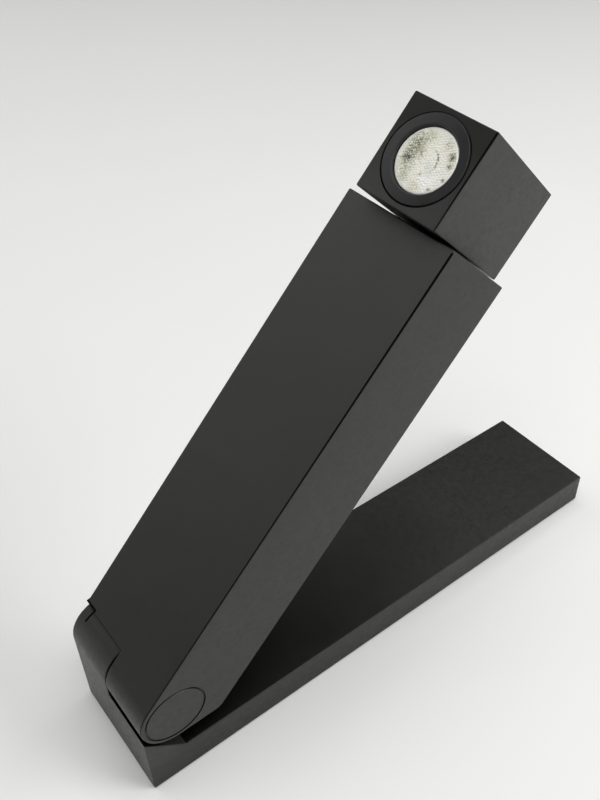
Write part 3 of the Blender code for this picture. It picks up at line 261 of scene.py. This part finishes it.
def make_world():
    world = bpy.data.worlds.new("room")
    world.use_nodes = True
    tree = world.node_tree
    background = tree.nodes["Background"]
    direction = add_node(tree, "TexCoord").outputs["Generated"]
    parts = add_node(tree, "SeparateXYZ", {"Vector": direction})
    height = add_node(tree, "MapRange", {
        "Value": parts.outputs["Z"],
        "From Min": math.sin(math.radians(WALL_TOP)),
        "From Max": math.sin(math.radians(CEILING_START)),
    })
    height.interpolation_type = "SMOOTHSTEP"
    colour = mix_node(tree, height.outputs["Result"], WALL_COLOUR, CEILING_COLOUR)
    tree.links.new(colour, background.inputs["Color"])
    ray = add_node(tree, "LightPath")
    seen = ray.outputs["Is Camera Ray"]
    for kind in ("Is Glossy Ray", "Is Transmission Ray"):
        total = add_node(tree, "Math", {0: seen, 1: ray.outputs[kind]})
        total.operation = "ADD"
        total.use_clamp = True
        seen = total.outputs["Value"]
    tree.links.new(seen, background.inputs["Strength"])
    bpy.context.scene.world = world


# Materials, one for each finish in the record. The paint has painted shade: it is darker and
# reflects less in corners, within NEAR_REACH, and less still on level faces that have
# something over them, within WIDE_REACH
NEAR_REACH = 0.05
WIDE_REACH = 0.12
LEVEL_FACING = (0.85, 0.97)


def satin_black_paint(name="satin_black_paint_detail", painted_sheen=None):
    m = Recipe(name, 0.42)
    black = m.ramp(m.noise(34.0, 4.0, 0.6), [
        (0.30, (0.0069, 0.0070, 0.0058)), (0.72, (0.0101, 0.0102, 0.0084)),
    ])
    # Painted shade: darker colour and less reflection in corners
    near = m.ramp(m.openness(NEAR_REACH), [(0.30, grey(0.02)), (0.78, grey(1.0))])
    # Painted shade: less reflection on level faces that have something over them
    wide = m.ramp(m.openness(WIDE_REACH), [
        (0.30, grey(0.0)), (0.72, grey(0.30)), (0.95, grey(1.0)),
    ])
    normal = m.node("NewGeometry").outputs["True Normal"]
    upward = m.node("SeparateXYZ", {"Vector": normal}).outputs["Z"]
    # The painted shade on the reflection, chosen by how level the face is
    painted_shade_and_sheen = m.mix(m.spread(upward, 0.0, 1.0, *LEVEL_FACING), near, wide)
    # A painted sheen, where given, on top of the painted shade
    if painted_sheen:
        painted_shade_and_sheen = m.multiply(painted_shade_and_sheen, m.painted_sheen(*painted_sheen))
    fleck = m.bump(m.cells(5200.0), depth=0.000004, strength=0.35)
    peel = m.bump(m.noise(2300.0, 2.0, 0.45), depth=0.000012, strength=0.5, under=fleck)
    return m.shade(
        # The colour carries the painted corner shade
        Base_Color=m.multiply(black, near),
        Roughness=m.spread(m.noise(420.0, 3.0, 0.6), 0.38, 0.50),
        Specular_Tint=painted_shade_and_sheen,
        Normal=peel,
    )


def matt_black_trim(name="matt_black_trim_detail", painted_sheen=None):
    m = Recipe(name, 0.6)
    grain = m.cells(2600.0, "SMOOTH_F1")
    # A painted sheen on the reflection, where given
    if painted_sheen:
        m.shade(Specular_Tint=m.painted_sheen(*painted_sheen))
    return m.shade(
        Base_Color=m.ramp(m.noise(90.0, 4.0), [
            (0.3, (0.0135, 0.0135, 0.0145)), (0.7, (0.0200, 0.0200, 0.0210)),
        ]),
        Roughness=m.spread(grain, 0.52, 0.68, 0.1, 0.6),
        Normal=m.bump(grain, depth=0.00002, strength=0.4),
    )


def zinc_plated_steel():
    m = Recipe("zinc_plated_steel_detail", 0.32, metallic=1.0)
    lathe_marks = m.noise(1.0, 3.0, 0.6, m.stretched((5200.0, 700.0, 5200.0)))
    return m.shade(
        Base_Color=m.ramp(m.noise(160.0, 3.0), [
            (0.28, (0.50, 0.51, 0.53)), (0.52, (0.60, 0.60, 0.58)), (0.76, (0.63, 0.60, 0.52)),
        ]),
        Roughness=m.spread(lathe_marks, 0.24, 0.42),
        Normal=m.bump(lathe_marks, depth=0.000006, strength=0.5),
    )


def raw_iron():
    m = Recipe("raw_iron_detail", 0.7, metallic=0.6)
    sand = m.noise(1150.0, 5.0, 0.65)
    return m.shade(
        Base_Color=m.ramp(m.noise(70.0, 5.0, 0.6), [
            (0.25, (0.085, 0.082, 0.080)), (0.60, (0.150, 0.145, 0.140)),
            (0.82, (0.170, 0.125, 0.095)),
        ]),
        Roughness=m.spread(sand, 0.55, 0.85),
        Normal=m.bump(sand, depth=0.00010, strength=0.8),
    )


def bare_aluminium():
    m = Recipe("bare_aluminium_detail", 0.3, metallic=1.0)
    streak = m.noise(1.0, 3.0, 0.55, m.stretched((260.0, 6000.0, 6000.0)))
    return m.shade(
        Base_Color=m.ramp(m.noise(55.0, 3.0), [
            (0.3, (0.68, 0.69, 0.70)), (0.7, (0.77, 0.77, 0.76)),
        ]),
        Roughness=m.spread(streak, 0.22, 0.44),
        Normal=m.bump(streak, depth=0.000010, strength=0.6),
    )


def white_nylon():
    m = Recipe("white_nylon_detail", 0.45)
    grain = m.noise(1800.0, 3.0)
    return m.shade(
        Base_Color=m.ramp(m.noise(120.0, 3.0), [
            (0.3, (0.66, 0.64, 0.58)), (0.7, (0.74, 0.73, 0.68)),
        ]),
        Roughness=m.spread(grain, 0.38, 0.55),
        Normal=m.bump(grain, depth=0.000015, strength=0.5),
    )


def black_rubber():
    m = Recipe("black_rubber_detail", 0.85)
    grain = m.cells(1500.0)
    return m.shade(
        Base_Color=m.ramp(m.noise(240.0, 5.0, 0.65), [
            (0.3, (0.010, 0.010, 0.010)), (0.75, (0.024, 0.024, 0.023)),
        ]),
        Roughness=m.spread(grain, 0.74, 0.94, 0.1, 0.7),
        Normal=m.bump(grain, depth=0.00004, strength=0.5),
    )


def led_phosphor():
    m = Recipe("led_phosphor_detail", 0.25)
    grain = m.cells(2600.0)
    return m.shade(
        Base_Color=m.ramp(grain, [(0.1, (0.86, 0.74, 0.16)), (0.7, (0.74, 0.58, 0.10))]),
        Roughness=m.spread(grain, 0.18, 0.4, 0.1, 0.7),
        Normal=m.bump(grain, depth=0.00002, strength=0.3),
        Coat_Weight=0.6,
    )


def circuit_board():
    m = Recipe("circuit_board_detail", 0.35)
    tracks = m.spread(m.cells(230.0, metric="MANHATTAN"), 0.0, 0.75, 0.55, 0.62)
    pads = m.spread(m.cells(620.0, metric="CHEBYCHEV"), 0.8, 0.0, 0.10, 0.13)
    mask = m.ramp(m.noise(60.0, 3.0), [
        (0.3, (0.018, 0.115, 0.045)), (0.7, (0.026, 0.150, 0.060)),
    ])
    masked_tracks = m.mix(tracks, mask, (0.050, 0.240, 0.095, 1.0))
    return m.shade(
        Base_Color=m.mix(pads, masked_tracks, (0.62, 0.60, 0.55, 1.0)),
        Roughness=m.spread(m.noise(900.0), 0.28, 0.42),
        Normal=m.bump(tracks, depth=0.00003, strength=0.6),
    )


def cable_sheath():
    m = Recipe("cable_sheath_detail", 0.5)
    return m.shade(
        Base_Color=m.ramp(m.noise(300.0, 3.0), [
            (0.3, (0.014, 0.014, 0.014)), (0.7, (0.026, 0.026, 0.026)),
        ]),
        Roughness=m.spread(m.noise(1500.0, 3.0), 0.40, 0.60),
        Normal=m.bump(m.noise(2400.0, 2.0), depth=0.00001, strength=0.5),
    )


def clear_lens():
    """Takes its darkness, which is painted reflection with a painted glare, from an attribute of the mesh."""
    m = Recipe("clear_lens_detail", 0.16)
    painted_reflection_tone = m.node("Attribute")
    painted_reflection_tone.attribute_name = "painted_reflection_tone"
    # Painted reflection: white at the painted glare, dark in the painted patches
    depth = m.ramp(painted_reflection_tone.outputs["Fac"], [
        (0.00, (1.00, 1.00, 1.00)), (0.18, (0.84, 0.84, 0.74)), (0.45, (0.43, 0.43, 0.32)),
        (1.00, (0.045, 0.047, 0.038)),
    ])
    cloud = m.ramp(m.noise(150.0, 3.0, 0.55), [
        (0.32, (0.86, 0.87, 0.80)), (0.50, (1.00, 1.00, 0.98)), (0.68, (1.00, 0.96, 0.91)),
    ])
    return m.shade(
        Base_Color=m.multiply(depth, cloud),
        Roughness=m.spread(m.noise(1100.0), 0.10, 0.26),
        Normal=m.bump(m.cells(1350.0), depth=0.00004, strength=0.5),
        IOR=1.49,
        Coat_Weight=0.6,
        Coat_Roughness=0.06,
    )


# Near-black with little reflection: the colour of the painted shade lines and the painted shadow strip
def painted_shade_black():
    m = Recipe("painted_shade_black_detail", 0.9)
    return m.shade(
        Base_Color=m.ramp(m.noise(800.0, 3.0), [(0.3, grey(0.0008)), (0.7, grey(0.0020))]),
        Roughness=m.spread(m.cells(2600.0), 0.80, 0.98, 0.1, 0.6),
        Normal=m.bump(m.noise(2400.0, 2.0), depth=0.00001, strength=0.5),
        Specular_IOR_Level=0.08,
    )


FINISHES = {
    "satin_black_paint": satin_black_paint,
    "matt_black_trim": matt_black_trim,
    "zinc_plated_steel": zinc_plated_steel,
    "raw_iron": raw_iron,
    "bare_aluminium": bare_aluminium,
    "white_nylon": white_nylon,
    "black_rubber": black_rubber,
    "clear_lens": clear_lens,
    "led_phosphor": led_phosphor,
    "circuit_board": circuit_board,
    "cable_sheath": cable_sheath,
}
MATERIALS = {name: recipe() for name, recipe in FINISHES.items()}
PAINTED_SHADE_BLACK = painted_shade_black()

# Three faces with a painted sheen, a painted reflection that changes along them: the frame,
# the way in it, and two places along the way, each with the share of the sheen there
ARM_PAINTED_SHEEN = (ARM, (1.0, 0.0, 0.0), (0.025, 0.66), (0.100, 1.16))
HEAD_PAINTED_SHEEN = (HEAD, (1.0, 0.0, 0.0), (0.003, 1.06), (0.033, 0.36))
BEZEL_PAINTED_SHEEN = (HEAD, (0.0, -1.0, 0.0), (-0.015, 0.95), (0.010, 0.30))
BEZEL_LOOK = matt_black_trim("bezel_painted_sheen", BEZEL_PAINTED_SHEEN)
OWN_LOOKS = {
    "arm_body": satin_black_paint("arm_paint_painted_sheen", ARM_PAINTED_SHEEN),
    "head_housing": satin_black_paint("head_paint_painted_sheen", HEAD_PAINTED_SHEEN),
}

# Shading: the meshes are welded, smooth over the rounds and crisp at sharper edges
WELD_DISTANCE = 0.000002
SHARP_DEGREES = 38.0


def smoothing_group():
    """A modifier group that smooths every edge up to SHARP_DEGREES."""
    group = bpy.data.node_groups.new("smooth_by_angle", "GeometryNodeTree")
    for way in ("INPUT", "OUTPUT"):
        group.interface.new_socket("Geometry", in_out=way, socket_type="NodeSocketGeometry")
    start = group.nodes.new("NodeGroupInput")
    end = group.nodes.new("NodeGroupOutput")
    forget = group.nodes.new("GeometryNodeRemoveAttribute")
    forget.inputs["Name"].default_value = "custom_normal"
    faces = group.nodes.new("GeometryNodeSetShadeSmooth")
    faces.domain = "FACE"
    edges = group.nodes.new("GeometryNodeSetShadeSmooth")
    edges.domain = "EDGE"
    angle = group.nodes.new("GeometryNodeInputMeshEdgeAngle")
    limit = group.nodes.new("FunctionNodeCompare")
    limit.operation = "LESS_EQUAL"
    limit.inputs["B"].default_value = math.radians(SHARP_DEGREES)
    for first, second in ((start, forget), (forget, faces), (faces, edges), (edges, end)):
        group.links.new(first.outputs["Geometry"], second.inputs["Geometry"])
    group.links.new(angle.outputs["Unsigned Angle"], limit.inputs["A"])
    group.links.new(limit.outputs["Result"], edges.inputs["Shade Smooth"])
    return group


SMOOTHING = smoothing_group()


def smooth(piece):
    weld = piece.modifiers.new("weld", "WELD")
    weld.merge_threshold = WELD_DISTANCE
    by_angle = piece.modifiers.new("smooth_by_angle", "NODES")
    by_angle.node_group = SMOOTHING
    weighted = piece.modifiers.new("weighted", "WEIGHTED_NORMAL")
    weighted.keep_sharp = True


def dress_nodes():
    for row in frame["record"]["subparts"]:
        node = NODES[row["node"]]
        for place in node.material_slots:
            place.material = OWN_LOOKS.get(row["node"], MATERIALS[row["material_slot"]])
        smooth(node)


# Mesh helpers
def linked_object(name, mesh, material):
    """Turns a bmesh into an object with one material, and frees the bmesh."""
    bmesh.ops.recalc_face_normals(mesh, faces=mesh.faces)
    data = bpy.data.meshes.new(name)
    mesh.to_mesh(data)
    mesh.free()
    data.materials.append(material)
    piece = bpy.data.objects.new(name, data)
    bpy.context.collection.objects.link(piece)
    return piece


def new_piece(name, mesh, body, material):
    piece = linked_object(name, mesh, material)
    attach(piece, body)
    return piece


def shade_smooth(piece):
    faces = piece.data.polygons
    faces.foreach_set("use_smooth", [True] * len(faces))


def loft(sections, ring=False):
    """Joins equal closed outlines, each a list of points, into a solid or a ring."""
    mesh = bmesh.new()
    rows = [[mesh.verts.new(point) for point in section] for section in sections]
    followers = rows[1:] + rows[:1] if ring else rows[1:]
    for first, second in zip(rows, followers):
        for k in range(len(first)):
            n = (k + 1) % len(first)
            mesh.faces.new((first[k], first[n], second[n], second[k]))
    if not ring:
        mesh.faces.new(rows[0][::-1])
        mesh.faces.new(rows[-1])
    return mesh


# A groove is deepest at its low side and shallower all round by this power of a cosine
SINK_POWER = 1.5


def turned(axes, middle, profile, steps, flip=1.0, low_side=0.0, sink=0.0):
    """A ring about the axes' z through a place, from a profile of radius and level."""
    sections = []
    for step in range(steps):
        a = math.tau * step / steps
        drop = sink * (0.5 + 0.5 * math.cos(a - math.radians(low_side))) ** SINK_POWER
        sections.append([
            axes @ Vector((
                middle[0] + r * math.cos(a), middle[1] + r * math.sin(a), flip * (level - drop),
            ))
            for r, level in profile
        ])
    return loft(sections, ring=True)


def band(inner, outer, top, low):
    """Profile of a ring with a square section."""
    return [(inner, top), (outer, top), (outer, low), (inner, low)]


# The lens: a moulded optic whose face is a triangular field of small domes, each moved a
# little off its place
LENS_PITCH = 0.00016
LENS_SIDES = 6
PEBBLE_SIZE = 0.00112
PEBBLE_HEIGHT = 0.00013
PEBBLE_REACH = 0.56
PEBBLE_SHIFT = 0.42
SHIFT_SCALE = 700.0
RIM_WIDTH = 0.0007
RIM_DROP = 0.0003
# Without a seed, noise_vector would start from the clock
SHIFT_SEED = 1
noise_field.seed_set(SHIFT_SEED)


def pebble(x, y):
    """Height of the nearest dome."""
    row_step = PEBBLE_SIZE * math.sqrt(3.0) / 2.0
    nearest = math.inf
    row = math.floor(y / row_step)
    for r in (row - 1, row, row + 1, row + 2):
        start = PEBBLE_SIZE / 2.0 if r % 2 else 0.0
        column = round((x - start) / PEBBLE_SIZE)
        for c in (column - 1, column, column + 1):
            spot = Vector((c * PEBBLE_SIZE + start, r * row_step, 0.0))
            spot += noise_field.noise_vector(spot * SHIFT_SCALE) * PEBBLE_SIZE * PEBBLE_SHIFT
            nearest = min(nearest, math.hypot(x - spot.x, y - spot.y))
    return PEBBLE_HEIGHT * max(0.0, 1.0 - (nearest / (PEBBLE_SIZE * PEBBLE_REACH)) ** 2)


def clamp(value):
    return min(1.0, max(0.0, value))


def lens_height(x, y):
    """Height of the face: pebbles that give way to a rim which falls off."""
    into_rim = clamp((math.hypot(x, y) - LENS_RADIUS + RIM_WIDTH) / RIM_WIDTH)
    return pebble(x, y) * (1.0 - into_rim) - RIM_DROP * into_rim ** 2 - PEBBLE_HEIGHT


# The lens's darkness is painted reflection: the dark that the clear optic shows, laid on as colour. Places are in
# millimetres from its middle, along the head and across it
TO_MILLIMETRES = 1000.0
# Patches of painted reflection
PAINTED_REFLECTION_PATCHES = [
    # along, across, reach, darkness
    (-1.9, 8.0, 2.1, 0.88), (2.8, 8.1, 3.2, 0.38), (6.4, 7.2, 3.0, 0.30),
    (-6.4, 6.6, 3.2, 0.24), (-10.4, -1.7, 2.4, 0.24), (1.4, 4.6, 3.0, 0.32),
    (5.4, -9.2, 1.5, 0.85), (2.0, -10.2, 1.1, 0.65), (-3.4, -11.0, 0.7, 0.70),
    (-8.8, -7.8, 0.7, 0.70), (8.8, 3.0, 2.6, 0.18), (8.6, -5.2, 2.2, 0.22),
    (-5.2, -1.1, 0.6, 0.70), (-9.5, 4.6, 2.0, 0.24),
]
# A patch is darker between the pebbles, and broken up by two noises
PATCH_FLOOR = 0.60
PATCH_GAP = 0.50
PATCH_GAP_POWER = 1.5
PATCH_LEAST = 0.15
WAVE_SCALE = 0.8
WAVE_LEVEL = 3.0
WAVE_SHARE = 0.9
GRAIN_SCALE = 2.1
GRAIN_LEVEL = 8.0
GRAIN_SHARE = 1.3
# A painted arc of broken dark marks round the middle, where the edge of the optic's inner well shows through the
# face, with its angles in degrees
ARC_RADIUS = 5.0
ARC_WIDTH = 0.40
ARC_MIDDLE = -68.0
ARC_SPREAD = 46.0
ARC_DARK = 0.95
ARC_WOBBLE = 0.3
ARC_FLOOR = 0.55
ARC_GRAIN = 1.5
# A thin haze everywhere but in one bright spot, a painted glare, given by its place and reach
PAINTED_GLARE = (-6.0, -4.6, 3.6)
HAZE = 0.115
HAZE_FLOOR = 0.8
HAZE_GAP = 0.5
CLEAR_RIM = 12.3


def soft_spot(x, y, middle_x, middle_y, reach):
    """1 in the middle of a spot, and less the farther from it."""
    return math.exp(-((x - middle_x) ** 2 + (y - middle_y) ** 2) / reach ** 2)


def lens_painted_reflection_tone(x, y):
    """Painted reflection at a place given in metres, as darkness: patches, the arc, the haze round the painted
    glare, and a clear rim.
    """
    gap = 1.0 - pebble(x, y) / PEBBLE_HEIGHT
    x *= TO_MILLIMETRES
    y *= TO_MILLIMETRES
    r = math.hypot(x, y)
    if r > CLEAR_RIM:
        return 0.0
    wave = noise_field.noise(Vector((x * WAVE_SCALE, y * WAVE_SCALE, WAVE_LEVEL)))
    grain = noise_field.noise(Vector((x * GRAIN_SCALE, y * GRAIN_SCALE, GRAIN_LEVEL)))
    patches = sum(dark * soft_spot(x, y, px, py, reach) for px, py, reach, dark in PAINTED_REFLECTION_PATCHES)
    patches *= PATCH_FLOOR + PATCH_GAP * gap ** PATCH_GAP_POWER
    patches *= max(PATCH_LEAST, 1.0 + WAVE_SHARE * wave + GRAIN_SHARE * grain)
    angle = math.degrees(math.atan2(y, x))
    arc = math.exp(-((r - ARC_RADIUS - ARC_WOBBLE * wave) / ARC_WIDTH) ** 2)
    arc *= math.exp(-((angle - ARC_MIDDLE) / ARC_SPREAD) ** 2)
    arc *= clamp(ARC_FLOOR + ARC_GRAIN * grain)
    haze = HAZE * (1.0 - soft_spot(x, y, *PAINTED_GLARE)) * (HAZE_FLOOR + HAZE_GAP * gap)
    return clamp(patches + ARC_DARK * arc + haze)


def lens_face(mesh):
    """Adds the lens's face, rings of triangles about the middle, and gives its outer ring."""
    rings = int(LENS_RADIUS / LENS_PITCH)

    def point(x, y):
        return mesh.verts.new(HEAD @ Vector((LENS_MIDDLE + x, y, LENS_TOP + lens_height(x, y))))

    last = [point(0.0, 0.0)]
    for ring in range(1, rings + 1):
        count = ring * LENS_SIDES
        r = LENS_RADIUS * ring / rings
        angles = [math.tau * k / count for k in range(count)]
        this = [point(r * math.cos(a), r * math.sin(a)) for a in angles]
        for side in range(LENS_SIDES):
            inner_start = side * (ring - 1)
            outer_start = side * ring
            for k in range(ring):
                a = this[(outer_start + k) % count]
                b = this[(outer_start + k + 1) % count]
                c = last[(inner_start + k) % len(last)]
                mesh.faces.new((a, b, c))
                if k < ring - 1:
                    d = last[(inner_start + k + 1) % len(last)]
                    mesh.faces.new((c, b, d))
        last = this
    return last


def make_lens():
    mesh = bmesh.new()
    edge = lens_face(mesh)
    down = HEAD.to_3x3() @ Vector((0.0, 0.0, RIM_DROP - LENS_PLATE))
    low = [mesh.verts.new(v.co + down) for v in edge]
    for k, v in enumerate(edge):
        n = (k + 1) % len(edge)
        mesh.faces.new((edge[n], v, low[k], low[n]))
    mesh.faces.new(low[::-1])
    lens = linked_object("lens_optic", mesh, MATERIALS["clear_lens"])
    shade_smooth(lens)
    # The painted reflections, stored at each point
    painted_reflection_tone = lens.data.attributes.new("painted_reflection_tone", "FLOAT", "POINT")
    to_head = HEAD.inverted()
    for vertex, value in zip(lens.data.vertices, painted_reflection_tone.data):
        place = to_head @ vertex.co
        value.value = lens_painted_reflection_tone(place.x - LENS_MIDDLE, place.y)
    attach(lens, "head")
    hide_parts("lens")


# The bezel with its chamfers, a little proud, and the grooves round it and round the near
# hinge cap. Profiles are points of radius and level; low sides are in degrees
BEZEL_PROFILE = [
    (0.01330, 0.02925), (0.01345, 0.02990), (0.01385, 0.03030), (0.01735, 0.03036),
    (0.01760, 0.03025), (0.01775, 0.02998), (0.01775, 0.02760), (0.01330, 0.02760),
]
BEZEL_STEPS = 128
BEZEL_GROOVE = band(inner=0.01772, outer=0.01848, top=0.02970, low=0.0290)
BEZEL_LOW_SIDE = -132.0
BEZEL_SINK = 0.0014
CAP_GROOVE = band(inner=0.01330, outer=0.01425, top=0.02965, low=0.0288)
CAP_STEPS = 96
CAP_LOW_SIDE = -48.0
CAP_SINK = 0.0007


def make_bezel():
    ring = turned(HEAD, (LENS_MIDDLE, 0.0), BEZEL_PROFILE, BEZEL_STEPS)
    front = new_piece("bezel_front", ring, "head", BEZEL_LOOK)
    shade_smooth(front)
    smooth(front)
    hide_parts("bezel_ring")
    groove = turned(
        HEAD, (LENS_MIDDLE, 0.0), BEZEL_GROOVE, BEZEL_STEPS,
        low_side=BEZEL_LOW_SIDE, sink=BEZEL_SINK,
    )
    new_piece(
        "bezel_groove", groove, "head", MATERIALS["satin_black_paint"],
    )


def make_cap_ring():
    """The floor of the groove round the near hinge cap, about the hinge's axis."""
    hinge_axes = ARM @ Matrix.Rotation(math.radians(-90.0), 4, "X")
    groove = turned(
        hinge_axes, (0.0, 0.0), CAP_GROOVE, CAP_STEPS,
        flip=-1.0, low_side=CAP_LOW_SIDE, sink=CAP_SINK,
    )
    new_piece(
        "near_cap_ring", groove, "arm", MATERIALS["satin_black_paint"],
    )


# Painted shade: dark lines set into the rounded near edges of the arm and the head. A line is
# given by its width on the face and its share of the round, first at its low end and then at its high end
LINE_LIFT = 0.00004
LINE_SUNK = 0.0004
LINE_POINTS = 4
ARM_LINE = ((0.0, 0.20), (0.00022, 0.85))
ARM_LINE_DEGREES = (48.0, 40.0, 32.0, 24.0, 16.0, 8.0)
ARM_LINE_SHARES = (0.0, 0.25, 0.5, 0.75, 1.0)
HEAD_LINE = ((0.0, 0.40), (0.00035, 0.65))
HEAD_LINE_SHARES = (0.0, 0.35, 0.7, 1.0)
LINE_STOP = 0.0011


def edge_outline(face, side, line, share):
    """Outline over a rounded edge, across and out: some of the face, then round the edge."""
    width, reach = (low + (high - low) * share for low, high in zip(*line))
    points = [(side + EDGE_ROUND + width, face + LINE_LIFT)]
    for k in range(LINE_POINTS + 1):
        a = math.pi / 2.0 * reach * k / LINE_POINTS
        r = EDGE_ROUND + LINE_LIFT * math.cos(a)
        points.append((side + EDGE_ROUND - r * math.sin(a), face - EDGE_ROUND + r * math.cos(a)))
    points.append((side + EDGE_ROUND + width, face - LINE_SUNK))
    return points


def make_arm_line():
    """Runs round the hinge end first, then straight up the arm."""
    sections = []
    for degrees in ARM_LINE_DEGREES:
        a = math.radians(degrees)
        sections.append([
            ARM @ Vector((-(ARM_FRONT + z) * math.sin(a), y, (ARM_FRONT + z) * math.cos(a)))
            for y, z in edge_outline(0.0, -HALF_WIDTH, ARM_LINE, 0.0)
        ])
    for share in ARM_LINE_SHARES:
        x = (ARM_REACH - LINE_STOP) * share
        outline = edge_outline(0.0, -HALF_WIDTH, ARM_LINE, share)
        sections.append([ARM @ Vector((x, y, ARM_FRONT + z)) for y, z in outline])
    new_piece("arm_painted_shade_line", loft(sections), "arm", PAINTED_SHADE_BLACK)


def make_head_line():
    sections = []
    for share in HEAD_LINE_SHARES:
        x = HEAD_GAP + LINE_STOP / 2 + (HEAD_HEIGHT - LINE_STOP) * share
        outline = edge_outline(HALF_WIDTH, -HEAD_HALF, HEAD_LINE, share)
        sections.append([HEAD @ Vector((x, y, z)) for y, z in outline])
    new_piece("head_painted_shade_line", loft(sections), "head", PAINTED_SHADE_BLACK)


# Painted shadow: a thin dark strip along the notch's far end, a little proud of the arm's front, where a gap lies
# in shadow
STRIP_RADII = (0.01772, 0.01827)
STRIP_START = 40.0
STRIP_SWEEP = 22.6
STRIP_STEPS = 6
STRIP_ACROSS = (0.0229, 0.0265, 0.0302)


def make_hinge_strip():
    inner, outer = STRIP_RADII
    angles = [
        math.radians(STRIP_START + STRIP_SWEEP * k / STRIP_STEPS) for k in range(STRIP_STEPS + 1)
    ]
    arcs = [(inner * math.cos(a), inner * math.sin(a)) for a in angles]
    arcs += [(outer * math.cos(a), outer * math.sin(a)) for a in reversed(angles)]
    sections = [[ARM @ Vector((x, y, z)) for x, z in arcs] for y in STRIP_ACROSS]
    new_piece("hinge_painted_shadow_strip", loft(sections), "arm", PAINTED_SHADE_BLACK)


# The floor, which fades into the room between two distances from the lamp
FLOOR_FADE = (0.95, 1.55)


def floor_material():
    m = Recipe("pale_floor", 0.7)
    m.shade(
        Base_Color=m.ramp(m.noise(3.0, 3.0), [
            (0.3, (0.795, 0.798, 0.775)), (0.7, (0.812, 0.815, 0.792)),
        ]),
        Roughness=m.spread(m.noise(120.0), 0.6, 0.8),
        Specular_IOR_Level=0.2,
    )
    distance = m.node("VectorMath", {0: m.place})
    distance.operation = "LENGTH"
    fade = m.spread(distance.outputs["Value"], 0.0, 1.0, *FLOOR_FADE)
    fade.node.interpolation_type = "SMOOTHSTEP"
    blend = m.node("MixShader", {
        0: fade, 1: m.shader.outputs["BSDF"], 2: m.node("BsdfTransparent").outputs["BSDF"],
    })
    surface = m.tree.nodes["Material Output"].inputs["Surface"]
    m.tree.links.new(blend.outputs["Shader"], surface)
    return m.material


def make_floor():
    reach = FLOOR_FADE[1]
    corners = [
        (-reach, -reach, 0.0), (reach, -reach, 0.0), (reach, reach, 0.0), (-reach, reach, 0.0),
    ]
    data = bpy.data.meshes.new("floor")
    data.from_pydata(corners, [], [(0, 1, 2, 3)])
    data.materials.append(floor_material())
    floor = bpy.data.objects.new("floor", data)
    bpy.context.collection.objects.link(floor)


make_camera()
for lamp_row in LAMPS:
    make_lamp(*lamp_row)
make_world()
make_floor()
dress_nodes()
make_lens()
make_bezel()
make_cap_ring()
make_arm_line()
make_head_line()
make_hinge_strip()

bpy.context.scene.view_settings.view_transform = "Standard"
